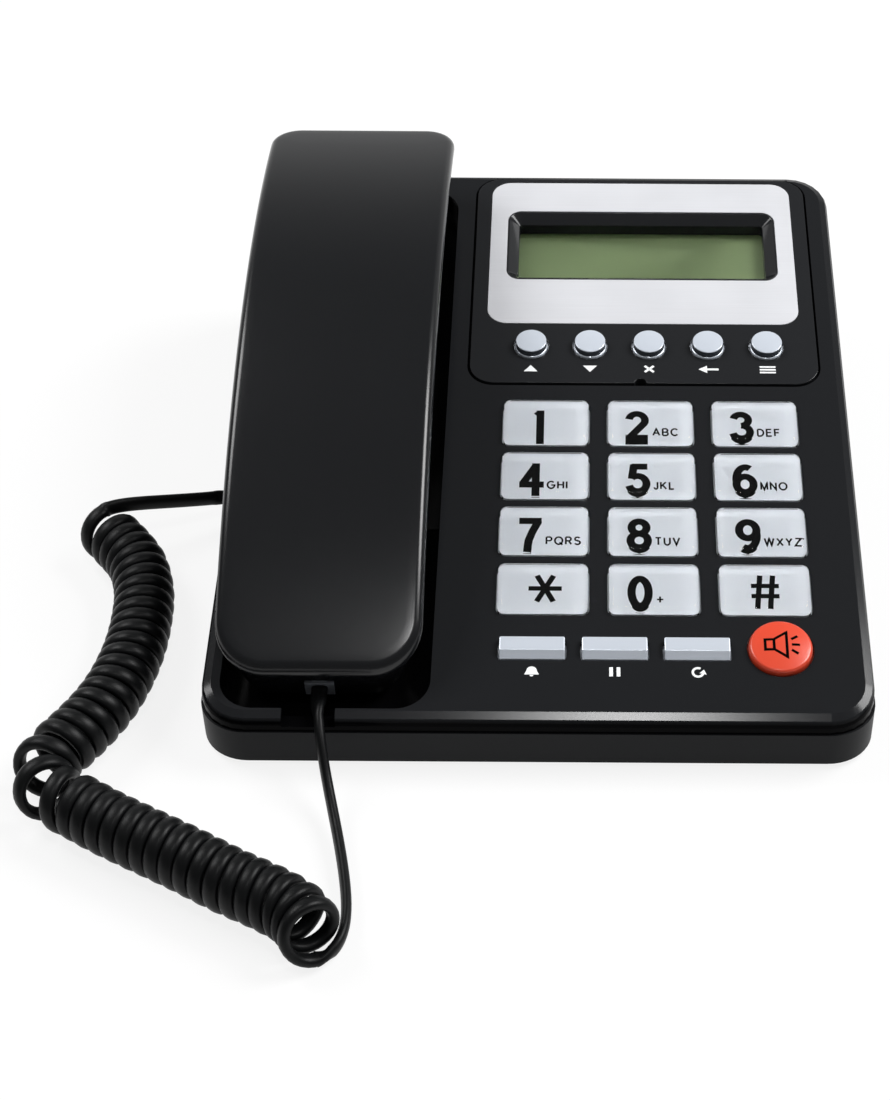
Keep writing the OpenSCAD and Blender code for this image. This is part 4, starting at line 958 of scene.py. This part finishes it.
    def dress(self) -> None:
        """Makes the keys and their signs."""
        menu, neck, bar = self.menu_key(), self.menu_neck(), self.bar_key()
        for i, (name, sign) in enumerate(zip(self.menu_names, self.menu_signs())):
            x = self.menu_x + (i - 2) * self.menu_pitch
            place = SLOPE.matrix(x, self.menu_u)
            below = SLOPE.matrix(x, self.menu_u - self.menu_sign_drop, self.panel_step + self.ink)
            stand_in(menu.piece(f"round_key_{name}", KEY_ABS, place), "key_silver", f"menu_key_{name}")
            # The neck band's darker grey is painted shade on the key's side.
            rides(neck.piece(f"round_key_shaded_neck_{name}", NECK_PAINTED_SHADE, place), f"button_{name}")
            rides(sign.piece(f"menu_sign_{name}", WHITE_INK, below), "base")
        for i, (name, sign) in enumerate(zip(self.bar_names, self.bar_signs())):
            x = self.bar_x + (i - 1) * self.bar_pitch
            place, below = SLOPE.matrix(x, self.bar_u), SLOPE.matrix(x, self.bar_u - self.bar_sign_drop, self.ink)
            stand_in(bar.piece(f"long_key_{name}", KEY_ABS, place, self.bar_sharp), "key_silver", f"bar_key_{name}")
            rides(sign.piece(f"bar_sign_{name}", WHITE_INK, below), "base")
        place = SLOPE.matrix(self.red_x, self.red_u)
        stand_in(self.red_key().piece("red_key", RED_ABS, place), "key_red", "speaker_key")
        rides(self.red_sign().piece("red_key_sign", BLACK_INK, place), "button_loudspeaker")


@dataclass
class DisplayPanel:
    """The display panel with its plate, clear window and liquid crystal cell."""

    panel_edge: float = 0.4
    plate_edge: float = 0.12
    layer_edge: float = 0.1

    def dress(self) -> None:
        """Softens the panel's mouldings and gives each layer its finish."""
        softened("display_panel", PANEL_ABS, self.panel_edge, "panel_gloss")
        softened("fascia_plate", PLATE_ALUMINIUM, self.plate_edge, "plate_aluminium")
        softened("lcd_lens", WINDOW_ACRYLIC, self.layer_edge, "window_clear")
        softened("lcd_module", LCD_CELL, self.layer_edge, "display_green")


@dataclass
class CaseShells:
    """The upper and lower case, and what is fixed in and under them."""

    # Below the shoulder the case's colour darkens into painted shade, fully at the deeper depth, and its gloss drops.
    polish_depth: float = 0.9
    full_shade_depth: float = 1.6
    painted_shade_colour: str = "#060607"
    dull_specular: float = 0.02
    crease: float = 20.0

    def hollow(self) -> None:
        """Paints shade into the case's colour below the shoulder, darkest on the walls and in the cradle, and lowers
        the gloss there.
        """
        tree = CASE_ABS.material().node_tree
        shader = next(n for n in tree.nodes if n.type == "BSDF_PRINCIPLED")
        up = Vector((0.0, -math.sin(SLOPE.angle), math.cos(SLOPE.angle)))
        surface = up.dot(Vector((0.0, SLOPE.front_y, SLOPE.front_z)))
        place = add(tree, "ShaderNodeTexCoord").outputs["Object"]
        rise = add(tree, "ShaderNodeVectorMath", {"operation": "DOT_PRODUCT"}, {0: place, 1: up})
        deep = add(tree, "ShaderNodeMapRange", inputs={
            "Value": rise.outputs["Value"], "From Min": (surface - self.polish_depth) * MM,
            "From Max": (surface - self.full_shade_depth) * MM}).outputs["Result"]
        # Painted shade: the colour goes from the gloss black to a near black below the shoulder.
        colour = add(tree, "ShaderNodeMix", {"data_type": "RGBA"}, {
            "Factor": deep, "A": shader.inputs["Base Color"].links[0].from_socket, "B": linear(self.painted_shade_colour)})
        tree.links.new(colour.outputs[2], shader.inputs["Base Color"])
        shine = add(tree, "ShaderNodeMapRange", inputs={
            "Value": deep, "To Min": CASE_ABS.specular, "To Max": self.dull_specular})
        tree.links.new(shine.outputs["Result"], shader.inputs["Specular IOR Level"])

    def dress(self) -> None:
        """Softens the shells' edges and finishes the pieces inside them."""
        self.hollow()
        softened("upper_case", CASE_ABS, 0.45, "case_gloss", self.crease)
        softened("lower_case", TRAY_ABS, 0.4, "tray_satin")
        softened("hook_plunger", CASE_ABS, 0.3, "case_gloss")
        softened("base_jack", JACK_PBT, 0.15, "jack_black")
        softened("line_jack", SOCKET_PBT, 0.2, "jack_ivory")
        finishes = {"hook_spring": STEEL, "hook_switch": SWITCH_NYLON, "keypad_mat": MAT_SILICONE,
                    "main_board": BOARD_RESIN, "loudspeaker": SPEAKER_STEEL, "handset_receiver": CAPSULE_ALUMINIUM,
                    "handset_microphone": CAPSULE_ALUMINIUM, "handset_jack": JACK_PBT}
        for node, finish in finishes.items():
            held = frame["nodes"][node].data
            held.materials.clear()
            held.materials.append(finish.material())


class SmallPart(Enum):
    """What a set of repeated parts is made of."""

    FOOT = "foot"
    SCREW = "screw"


@dataclass
class PartTree:
    """A node tree in the making that shapes one part from the sizes it is given."""

    tree: Tree
    given: bpy.types.bpy_prop_collection

    def made(self, kind: str, inputs: dict, settings: dict | None = None) -> Socket:
        """Adds a geometry node and gives its first output."""
        return add(self.tree, f"GeometryNode{kind}", settings, inputs).outputs[0]

    def calc(self, a: Socket, b: Socket | float, way: str = "MULTIPLY") -> Socket:
        """Gives a product, or another calculation, of two values."""
        return add(self.tree, "ShaderNodeMath", {"operation": way}, {0: a, 1: b}).outputs[0]

    def vector(self, **axes: Socket) -> Socket:
        """Puts values for X, Y and Z together."""
        return add(self.tree, "ShaderNodeCombineXYZ", inputs=axes).outputs[0]

    def at(self, shape: Socket, height: Socket) -> Socket:
        """Sets a shape at a height."""
        return self.made("Transform", {"Geometry": shape, "Translation": self.vector(Z=height)})

    def drum(self, sides: int, radius: Socket, depth: Socket) -> Socket:
        """Makes an upright drum about its own middle."""
        return self.made("MeshCylinder", {"Vertices": sides, "Radius": radius, "Depth": depth})

    def circle(self, sides: int, radius: Socket) -> Socket:
        """Makes a circle as a curve."""
        return self.made("CurvePrimitiveCircle", {"Resolution": sides, "Radius": radius})

    def foot(self) -> Socket:
        """Adds the nodes of a foot: a drum, its sole and a round edge between them.

        Returns:
            The foot's socket.
        """
        tall, edge = self.given["Height"], self.given["Rounding"]
        radius = self.calc(self.given["Diameter"], 0.5)
        inner = self.calc(radius, edge, "SUBTRACT")
        drum = self.drum(48, radius, self.calc(tall, edge, "SUBTRACT"))
        rim = self.made("CurveToMesh", {"Curve": self.circle(48, inner), "Profile Curve": self.circle(16, edge)})
        return self.made("JoinGeometry", {"Geometry": [
            self.at(drum, self.calc(self.calc(tall, edge, "ADD"), 0.5)),
            self.at(self.drum(48, inner, tall), self.calc(tall, 0.5)), self.at(rim, edge)]})

    def screw(self) -> Socket:
        """Adds the nodes of a screw: a head with a cross recess, a shaft, a thread and a tip.

        Returns:
            The screw's socket.
        """
        tall, cross, thick, tip = (self.given[n] for n in ("Head height", "Recess", "Shaft diameter", "Tip"))
        low = self.calc(tall, -1.0)
        slim = self.calc(cross, 0.28)
        bars = [self.at(self.made("MeshCube", {"Size": self.vector(X=wide, Y=long, Z=tall)}), low)
                for wide, long in ((cross, slim), (slim, cross))]
        head = self.at(self.drum(40, self.calc(self.given["Head diameter"], 0.5), tall), self.calc(low, 0.5))
        cut = self.made("MeshBoolean", {"Mesh 1": head, "Mesh 2": bars}, {"operation": "DIFFERENCE", "solver": "EXACT"})
        core = self.calc(thick, 0.4)
        plain = self.calc(self.given["Shaft length"], tip, "SUBTRACT")
        point = self.made("MeshCone", {"Vertices": 24, "Radius Top": 0.0001, "Radius Bottom": core, "Depth": tip})
        line = self.made("CurveSpiral", {
            "Resolution": 20, "Rotations": self.calc(plain, self.given["Pitch"], "DIVIDE"),
            "Start Radius": core, "End Radius": core, "Height": plain})
        ridge = self.circle(6, self.calc(thick, 0.1))
        thread = self.made("CurveToMesh", {"Curve": line, "Profile Curve": ridge, "Fill Caps": True})
        return self.made("JoinGeometry", {"Geometry": [
            cut, self.at(self.drum(24, core, plain), self.calc(plain, 0.5)), self.at(point, plain), thread]})


@dataclass
class RepeatedParts:
    """The rubber feet and the screws: one node tree for each kind sets the part on its places."""

    foot_d: float = 11.8
    foot_h: float = 2.1
    foot_round: float = 0.5
    head_d: float = 5.4
    head_h: float = 1.8
    shaft_d: float = 2.8
    shaft_l: float = 9.0
    pitch: float = 1.1
    tip: float = 1.2
    recess: float = 3.0
    head_z: float = 4.3
    feet: tuple[Flat, ...] = ((70.0, 64.55), (-70.0, 64.55), (70.0, -64.55), (-70.0, -64.55))
    bosses: tuple[Flat, ...] = ((79.9, -84.05), (-20.5, -84.05), (79.9, 84.05), (-79.9, 84.05))
    handset_ins: tuple[float, ...] = (71.8, 137.8)
    handset_x: float = -56.0
    seat: float = 1.6
    sharp: float = 35.0

    def sizes(self, kind: SmallPart) -> dict[str, float]:
        """Gives the named sizes of a kind of part, in millimetres.

        Args:
            kind: The kind of part.

        Returns:
            Each size by its name.
        """
        if kind is SmallPart.FOOT:
            return {"Diameter": self.foot_d, "Height": self.foot_h, "Rounding": self.foot_round}
        return {"Head diameter": self.head_d, "Head height": self.head_h, "Shaft diameter": self.shaft_d,
                "Shaft length": self.shaft_l, "Tip": self.tip, "Recess": self.recess, "Pitch": self.pitch}

    def tree(self, kind: SmallPart) -> Tree:
        """Builds the node tree that sets one kind of part on every point.

        Args:
            kind: The kind of part.

        Returns:
            The tree, with an input for each size, the tilt and the material.
        """
        tree = bpy.data.node_groups.new(f"{kind.value}_set", "GeometryNodeTree")
        sockets = {"Places": "Geometry", **dict.fromkeys(self.sizes(kind), "Float"), "Tilt": "Rotation",
                   "Material": "Material"}
        for name, data in sockets.items():
            tree.interface.new_socket(name, in_out="INPUT", socket_type=f"NodeSocket{data}")
        tree.interface.new_socket("Parts", in_out="OUTPUT", socket_type="NodeSocketGeometry")
        given = add(tree, "NodeGroupInput").outputs
        maker = PartTree(tree, given)
        part = maker.foot() if kind is SmallPart.FOOT else maker.screw()
        spread = maker.made("InstanceOnPoints", {
            "Points": given["Places"], "Instance": part, "Rotation": given["Tilt"]})
        real = maker.made("RealizeInstances", {"Geometry": spread})
        dressed = maker.made("SetMaterial", {"Geometry": real, "Material": given["Material"]})
        add(tree, "NodeGroupOutput", inputs={"Parts": dressed})
        return tree

    def set_out(self, name: str, kind: SmallPart, places: Sequence[Vector], tilt: float, finish: Finish) -> Piece:
        """Sets parts on places and turns them into one plain mesh.

        Args:
            name: The piece's name.
            kind: The kind of part.
            places: Where the parts go, in metres.
            tilt: Their turn about x, in radians.
            finish: Their finish.

        Returns:
            The piece.
        """
        dots = bpy.data.meshes.new(name)
        dots.from_pydata([tuple(p) for p in places], [], [])
        piece = bpy.data.objects.new(name, dots)
        bpy.context.scene.collection.objects.link(piece)
        modifier = piece.modifiers.new("repeat", "NODES")
        tree = self.tree(kind)
        modifier.node_group = tree
        keys = {item.name: item.identifier for item in tree.interface.items_tree if item.in_out == "INPUT"}
        for size, value in self.sizes(kind).items():
            modifier[keys[size]] = value * MM
        modifier[keys["Tilt"]] = (tilt, 0.0, 0.0)
        modifier[keys["Material"]] = finish.material()
        mesh = settled(piece).data
        bpy.data.objects.remove(piece)
        return finished(name, mesh, finish, self.sharp)

    def dress(self) -> None:
        """Makes the feet and both sets of screws."""
        flat = [Vector((x, y, 0.0)) * MM for x, y in self.feet]
        stand_in(self.set_out("foot_set", SmallPart.FOOT, flat, 0.0, FOOT_RUBBER), "foot_rubber", "rubber_feet")
        deep = [Vector((x, y, self.head_z)) * MM for x, y in self.bosses]
        stand_in(self.set_out("case_screw_set", SmallPart.SCREW, deep, 0.0, STEEL), "spring_steel", "case_screws")
        held = [SLOPE.matrix() @ Vector((self.handset_x, u, Handset().rim(u) + self.seat - self.shaft_l))
                for u in self.handset_ins]
        stand_in(self.set_out("handset_screw_set", SmallPart.SCREW, held, SLOPE.angle, STEEL),
                 "spring_steel", "handset_screws")


@dataclass
class Handset:
    """The handset: an arched back cover over a front shell with the two cups."""

    front: float = 9.8
    length: float = 195.0
    x: float = -56.0
    front_n: float = 5.0
    back_n: float = 17.0
    rise: float = 17.5
    width_mouth: float = 53.0
    width_ear: float = 55.5
    corner_mouth: float = 13.0
    corner_ear: float = 9.0
    corner_least: float = 2.0
    corner_steps: int = 10
    side_steps: int = 44
    cover: float = 3.3
    edge: float = 2.4
    cover_sharp: float = 60.0
    shell_edge: float = 0.3

    def rim(self, u: float) -> float:
        """Gives the rim's height at a place along the handset."""
        t = (u - self.front) / self.length
        return self.front_n + (self.back_n - self.front_n) * t + 4 * self.rise * t * (1 - t)

    def half(self, u: float) -> float:
        """Gives half the handset's width at a place along it."""
        return (self.width_mouth + (self.width_ear - self.width_mouth) * (u - self.front) / self.length) / 2

    def outline(self, inset: float) -> list[Flat]:
        """Gives the right half of the outline, from the mouthpiece's end to the earpiece's.

        Args:
            inset: How far the outline is drawn in.

        Returns:
            Points of x and u.
        """
        mouth, ear = (max(c - inset, self.corner_least) for c in (self.corner_mouth, self.corner_ear))
        u0, u1 = self.front + inset + mouth, self.front + self.length - inset - ear
        places = [u0 + (u1 - u0) * i / self.side_steps for i in range(self.side_steps + 1)]
        return (arc(self.half(u0) - inset - mouth, u0, mouth, mouth, -90, 0, self.corner_steps)[:-1]
                + [(self.half(u) - inset, u) for u in places]
                + arc(self.half(u1) - inset - ear, u1, ear, ear, 0, 90, self.corner_steps)[1:])

    def cover_shape(self) -> Shape:
        """Shapes the back cover from rings that follow the rim, with a soft edge and a faint crown.

        Returns:
            The closed solid, in the slope's frame about the handset's middle.
        """
        shape = Shape()
        profile = ([(0.35, 0.02), (0.1, 0.1), (0.0, 0.3), (0.0, 0.7)]
                   + arc(self.edge, 0.7, -self.edge, self.cover - 0.75, 10, 90, 8)
                   + [(4.5, self.cover - 0.01), (9.0, self.cover)])
        rings = []
        for inset, height in profile:
            right = [(x, u, self.rim(u) + height) for x, u in self.outline(inset)]
            rings.append(shape.ring3(right + [(-x, u, n) for x, u, n in reversed(right)]))
        shape.stack(rings)
        for ring, up in ((rings[0], False), (rings[-1], True)):
            count = len(ring)
            for i in range(count // 2 - 1):
                shape.lid((ring[i], ring[i + 1], ring[count - 2 - i], ring[count - 1 - i]), up)
        return shape

    def dress(self) -> None:
        """Makes the cover and softens the front shell."""
        cover = self.cover_shape().piece("handset_cover", HANDSET_ABS, SLOPE.matrix(self.x), self.cover_sharp)
        stand_in(cover, "handset_gloss", "handset_back")
        softened("handset_front", HANDSET_ABS, self.shell_edge, "handset_gloss")


@dataclass
class CurlyCord:
    """The cord: a flat lead from the handset, a coil on the table and a flat lead to the case."""

    coil_d: float = 16.4
    clear: float = 0.25
    curl_w: float = 4.2
    curl_t: float = 2.8
    curl_room: float = 0.97
    lead_w: float = 4.2
    lead_t: float = 2.5
    lead_roll: float = 80.0
    roll_share: float = 0.12
    swell: int = 6
    squareness: float = 2.6
    end_tilt: float = 15.0
    tilt_curls: float = 6.0
    rings: int = 30
    sides: int = 14
    sharp: float = 60.0
    axis_steps: int = 12
    lead_steps: int = 8
    overlap: int = 6
    ease_rounds: int = 60
    aim: float = 2.0
    tangent: float = 0.02
    lap: float = 0.06
    plug_run: float = 4.0
    plug_edge: float = 0.2
    axis: tuple[Flat, ...] = (
        (-51.2, -164.4), (-55.4, -158.3), (-63, -153.2), (-73, -148), (-85, -141), (-96, -135), (-105, -130),
        (-113, -125), (-119, -121.5), (-122.5, -118.5), (-124, -115), (-124, -111.5),
        (-122, -107), (-118, -100.5), (-114, -93), (-111, -85), (-109, -76), (-108, -67),
        (-108, -57), (-109, -47), (-112, -37), (-116, -30.5), (-120, -25.5), (-124, -20.5))
    curls: tuple[float, ...] = (0, 1.5, 17, 20, 39.5, 40.5)
    shares: tuple[float, ...] = (0, 0.036, 0.395, 0.515, 0.966, 1)
    handset_lead: tuple[Point, ...] = (
        (-55.7, -99, 16.4), (-55.1, -104, 15.6), (-54.2, -108.5, 12.2), (-53.1, -113, 7.9), (-51.5, -119, 4.7),
        (-48.8, -129.5, 3), (-46.3, -141, 2.7), (-44.8, -150.5, 2.7), (-44.6, -157, 2.7), (-45.6, -161.8, 2.7))
    base_lead: tuple[Point, ...] = ((-115, -15, 13.8), (-107, -11.7, 11.6), (-99, -8, 9.4))
    handset_plug: Point = (-56.0, 11.2, -1.6)
    base_plug: Point = (-88.5, -4.5, 7.35)

    @staticmethod
    def curve(points: Sequence[Vector], steps: int) -> list[Vector]:
        """Runs a smooth curve through points.

        Args:
            points: The points, in order.
            steps: Steps between each pair.

        Returns:
            The curve's points.
        """
        found = []
        last = len(points) - 1
        for i in range(last):
            p1, p2 = points[i], points[i + 1]
            p0 = points[i - 1] if i > 0 else 2 * p1 - p2
            p3 = points[i + 2] if i + 1 < last else 2 * p2 - p1
            for k in range(steps):
                t = k / steps
                found.append(0.5 * (2 * p1 + (p2 - p0) * t + (2 * p0 - 5 * p1 + 4 * p2 - p3) * t * t
                                    + (3 * p1 - p0 - 3 * p2 + p3) * t ** 3))
        return found + [points[last]]

    def lead(self, ends: Sequence[Vector]) -> list[Vector]:
        """Runs a lead through points, eases its bends and keeps its first and last stretch.

        Args:
            ends: The points, in order.

        Returns:
            The lead's middle line.
        """
        points, kept = self.curve(ends, self.lead_steps), self.lead_steps
        for _ in range(self.ease_rounds):
            middles = [(a + b) / 2 for a, b in zip(points, points[2:])]
            points[kept:-kept] = [p.lerp(m, 0.5) for p, m in zip(points[kept:-kept], middles[kept - 1:1 - kept])]
        return points

    @staticmethod
    def way(path: Sequence[Vector], i: int) -> Vector:
        """Gives a path's direction at one of its points."""
        return (path[min(i + 1, len(path) - 1)] - path[max(i - 1, 0)]).normalized()

    def routes(self) -> list[tuple[list[Vector], list[Vector], list[Flat]]]:
        """Finds the middle line, the flat side's direction and the section of both stretches of the cord.

        Returns:
            The handset's lead from its plug to the coil, then the coil with the base's lead: for each the points in
            millimetres, the direction out of the flat side at each, and each section's width and thickness.
        """
        radius, height = self.coil_d / 2 - self.curl_t / 2, self.coil_d / 2 + self.clear
        line = self.curve([Vector((x, y, height)) for x, y in self.axis], self.axis_steps)
        lengths = [0.0]
        for a, b in zip(line, line[1:]):
            lengths.append(lengths[-1] + (b - a).length)
        total, count = lengths[-1], self.curls[-1]

        def at(s: float) -> Vector:
            """Gives the axis point at a length along it.

            Args:
                s: The length.

            Returns:
                The point.
            """
            s = max(0.0, min(total, s))
            i = max(0, min(len(line) - 2, next((k for k, v in enumerate(lengths) if v > s), len(line) - 1) - 1))
            return line[i].lerp(line[i + 1], (s - lengths[i]) / (lengths[i + 1] - lengths[i]))

        def share(c: float) -> float:
            """Gives the share of the axis that a count of curls reaches.

            Args:
                c: The count of curls.

            Returns:
                The share.
            """
            for c0, c1, s0, s1 in zip(self.curls, self.curls[1:], self.shares, self.shares[1:]):
                if c <= c1:
                    return s0 + (s1 - s0) * (c - c0) / (c1 - c0)
            return 1.0

        def curl(c: float) -> tuple[Vector, Vector]:
            """Gives the cord's place and outward direction after a count of curls.

            Args:
                c: The count of curls.

            Returns:
                The place and the direction.
            """
            s = total * share(c)
            way = (at(min(s + self.aim, total)) - at(max(s - self.aim, 0))).normalized()
            a = math.radians(90 + 360 * c)
            lean = math.radians(self.end_tilt * max(0.0, 1 - c / self.tilt_curls))
            up = math.cos(lean) * Vector((0, 0, 1)) + math.sin(lean) * way
            out = math.cos(a) * Vector((way.y, -way.x, 0)) - math.sin(a) * up
            return at(s) + radius * out, out

        def joint(c: float, inward: float) -> list[Vector]:
            """Gives three points that lead out of the coil's end: one inside it, its end and one beyond.

            Args:
                c: The end's count of curls.
                inward: The sign of the count towards the coil.

            Returns:
                The points.
            """
            end = curl(c)[0]
            beyond = self.curl_t * (end - curl(c + inward * self.tangent)[0]).normalized()
            return [curl(c + inward * self.lap)[0], end, end + beyond]

        wound = []
        for i in range(int(count * self.rings) + 1):
            turn = i / self.rings
            room = min((curl(c + 1)[0] - curl(c)[0]).length for c in (turn, turn - 1) if 0 <= c <= count - 1)
            wound.append((*curl(turn), (min(self.curl_w, self.curl_room * room), self.curl_t)))
        slope = Matrix.Scale(1 / MM, 4) @ SLOPE.matrix()
        plug, socket = Vector(self.handset_plug), Vector(self.base_plug)
        run = slope @ (plug - Vector((0, self.plug_run, 0)))
        lead = self.lead([run, *map(Vector, self.handset_lead), *reversed(joint(0, 1))])
        tail = self.lead([*joint(count, -1), *map(Vector, self.base_lead), socket - Vector((self.plug_run, 0, 0))])
        front = self.flat([slope @ plug] + lead[:-self.overlap], True)
        back = wound[:-1] + self.flat(tail[self.lead_steps:] + [socket], False)
        return [tuple(list(column) for column in zip(*stretch)) for stretch in (front, back)]

    def flat(self, path: Sequence[Vector], towards_coil: bool) -> list[tuple[Vector, Vector, Flat]]:
        """Rolls a lead on edge between its plug and the coil.

        Args:
            path: The lead's middle line.
            towards_coil: Whether it runs from its plug to the coil.

        Returns:
            Each point with the direction out of the flat side and the section.
        """
        found = []
        up = Vector((0, 0, 1))
        for i, p in enumerate(path):
            t = i / (len(path) - 1)
            a = math.radians(self.lead_roll * min(1.0, t / self.roll_share, (1 - t) / self.roll_share))
            out = math.cos(a) * up + math.sin(a) * self.way(path, i).cross(up).normalized()
            near = (t if towards_coil else 1 - t) ** self.swell
            size = (self.lead_w, self.lead_t + (self.curl_t - self.lead_t) * near)
            found.append((p, -out if towards_coil else out, size))
        return found

    def swept(self, name: str, points: list[Vector], outs: list[Vector], sizes: list[Flat]) -> Piece:
        """Sweeps the flat section with round edges along a stretch of the cord.

        Args:
            name: The piece's name.
            points: The middle line, in millimetres.
            outs: The direction out of the flat side at each point.
            sizes: The width and thickness at each point.

        Returns:
            The cord's piece.
        """
        shape, rings, power = Shape(), [], self.squareness
        angles = [math.tau * (k + 0.5) / self.sides for k in range(self.sides)]
        for i, (p, out, (wide, thick)) in enumerate(zip(points, outs, sizes)):
            way = self.way(points, i)
            side = out.cross(way).normalized()
            top = way.cross(side)
            ring = []
            for c, s in ((math.cos(a), math.sin(a)) for a in angles):
                flat = (abs(c) ** power + abs(s) ** power) ** (-1 / power)
                ring.append(tuple(p + side * (wide / 2 * c * flat) + top * (thick / 2 * s * flat)))
            rings.append(shape.ring3(ring))
        shape.solid(rings)
        return shape.piece(name, CORD_PVC, Matrix.Scale(MM, 4), self.sharp)

    def dress(self) -> None:
        front, back = self.routes()
        plugs = [softened(node, PLUG_PC, self.plug_edge, "plug_clear") for node in ("handset_plug", "base_plug")]
        lead = self.swept("handset_lead", *front)
        coil = self.swept("curly_cord", *back)
        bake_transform(lead)
        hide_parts("cord_handset_lead")
        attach(coil, "base")
        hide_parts("cord_coil", "cord_base_lead")


@dataclass
class Studio:
    """The camera of the photograph, a pale floor and soft lamps; lengths in metres, powers in watts."""

    eye: Point = (0.0105, -0.4782, 0.4068)
    pitch: float = 41.5
    roll: float = 0.36
    lens: float = 70.0
    sensor: float = 36.0
    near: float = 0.01
    shift: float = -0.1227
    paper_half: float = 4.0
    paper_z: float = -0.0004
    paper_glow: float = 0.85
    strips: int = 8
    strip_step: float = 0.031
    strip_depth: float = 0.1
    strip_power: float = 0.43
    strip_place: Point = (0.05, -0.417, 1.1)
    strip_aim: Flat = (-0.101, 0.016)
    softboxes: tuple[tuple[str, Point, Point, float, float], ...] = (
        ("left_softbox", (-0.72, 0.35, 0.92), (-0.03, 0, 0.02), 0.5, 7.2),
        ("right_softbox", (0.8, 0.22, 0.95), (0.05, 0, 0.02), 0.6, 15.9))
    room_low: Flat = (0.75, 0.3)
    room_back: Flat = (0.5, 0.95)
    room_light: Flat = (0.15, 0.8)

    def camera(self) -> None:
        """Places the camera at the photograph's viewpoint."""
        data = bpy.data.cameras.new("photograph")
        data.lens = self.lens
        data.sensor_width = self.sensor
        data.shift_x = self.shift
        data.clip_start = self.near
        seen = bpy.data.objects.new("photograph", data)
        seen.matrix_world = (Matrix.Translation(self.eye) @ Matrix.Rotation(math.radians(90 - self.pitch), 4, "X")
                             @ Matrix.Rotation(math.radians(self.roll), 4, "Z"))
        bpy.context.scene.collection.objects.link(seen)
        bpy.context.scene.camera = seen

    def lamp(self, name: str, place: Point, aim: Point, size: Flat, power: float) -> None:
        """Adds a soft rectangular lamp.

        Args:
            name: The lamp's name.
            place: Where it stands.
            aim: What it points at.
            size: Its width and height.
            power: Its power.
        """
        data = bpy.data.lights.new(name, "AREA")
        data.shape = "RECTANGLE"
        data.size, data.size_y = size
        data.energy = power
        lamp = bpy.data.objects.new(name, data)
        lamp.location = place
        lamp.rotation_euler = (Vector(aim) - Vector(place)).to_track_quat("-Z", "Y").to_euler()
        bpy.context.scene.collection.objects.link(lamp)

    def floor(self) -> None:
        """Lays white paper that shows white to the camera and in gloss, and keeps the telephone's shadow."""
        sheet, r = Shape(), self.paper_half
        sheet.lid(sheet.ring([(-r, -r), (r, -r), (r, r), (-r, r)], self.paper_z))
        piece = sheet.piece("studio_floor", FLOOR_PAPER, Matrix.Identity(4))
        tree = FLOOR_PAPER.material().node_tree
        nodes = {node.type: node for node in tree.nodes}
        path = add(tree, "ShaderNodeLightPath").outputs
        shown = path["Is Camera Ray"]
        for way, other in (("MAXIMUM", path["Is Glossy Ray"]), ("MAXIMUM", path["Is Transmission Ray"]),
                           ("MULTIPLY", self.paper_glow)):
            shown = add(tree, "ShaderNodeMath", {"operation": way}, {0: shown, 1: other}).outputs[0]
        glow = add(tree, "ShaderNodeEmission", inputs={"Color": (1, 1, 1, 1), "Strength": 1.0})
        mixed = add(tree, "ShaderNodeMixShader", inputs={
            0: shown, 1: nodes["BSDF_PRINCIPLED"].outputs[0], 2: glow.outputs[0]})
        tree.links.new(mixed.outputs[0], nodes["OUTPUT_MATERIAL"].inputs["Surface"])

    def light(self) -> None:
        """Makes the floor, the lamps and a room that is bright low down at the back and dim elsewhere."""
        self.floor()
        middle, y, z = self.strip_place
        for i in range(self.strips):
            share = (i + 0.5) / self.strips
            x = middle + (share - 0.5) * self.strips * self.strip_step
            self.lamp(f"front_strip_{i}", (x, y, z), (x, *self.strip_aim), (self.strip_step, self.strip_depth),
                      self.strip_power * math.sin(math.pi * share) ** 2)
        for name, place, aim, size, power in self.softboxes:
            self.lamp(name, place, aim, (size, size), power)
        world = bpy.data.worlds.new("studio")
        bpy.context.scene.world = world
        world.use_nodes = True
        tree = world.node_tree
        tree.nodes.clear()
        place = add(tree, "ShaderNodeTexCoord").outputs["Generated"]
        parts = add(tree, "ShaderNodeSeparateXYZ", inputs={"Vector": place}).outputs
        low, behind = (add(tree, "ShaderNodeMapRange", inputs={
            "Value": parts[axis], "From Min": start, "From Max": stop}).outputs["Result"]
            for axis, (start, stop) in (("Z", self.room_low), ("Y", self.room_back)))
        both = add(tree, "ShaderNodeMath", {"operation": "MULTIPLY"}, {0: low, 1: behind})
        level = add(tree, "ShaderNodeMapRange", inputs={
            "Value": both.outputs[0], "To Min": self.room_light[0], "To Max": self.room_light[1]})
        back = add(tree, "ShaderNodeBackground", inputs={"Color": (1, 1, 1, 1), "Strength": level.outputs["Result"]})
        add(tree, "ShaderNodeOutputWorld", inputs={"Surface": back.outputs["Background"]})
        bpy.context.scene.view_settings.view_transform = "Standard"


def main() -> None:
    """Builds the camera, the cord and every sub-assembly."""
    logging.basicConfig(level=logging.INFO, format="%(name)s: %(message)s")
    studio = Studio()
    studio.camera()
    for assembly in (CurlyCord, CaseShells, RepeatedParts, DisplayPanel, NumberKeys, FunctionKeys, Handset):
        assembly().dress()
    studio.light()
    bpy.context.view_layer.update()


if __name__ == "__main__":
    main()
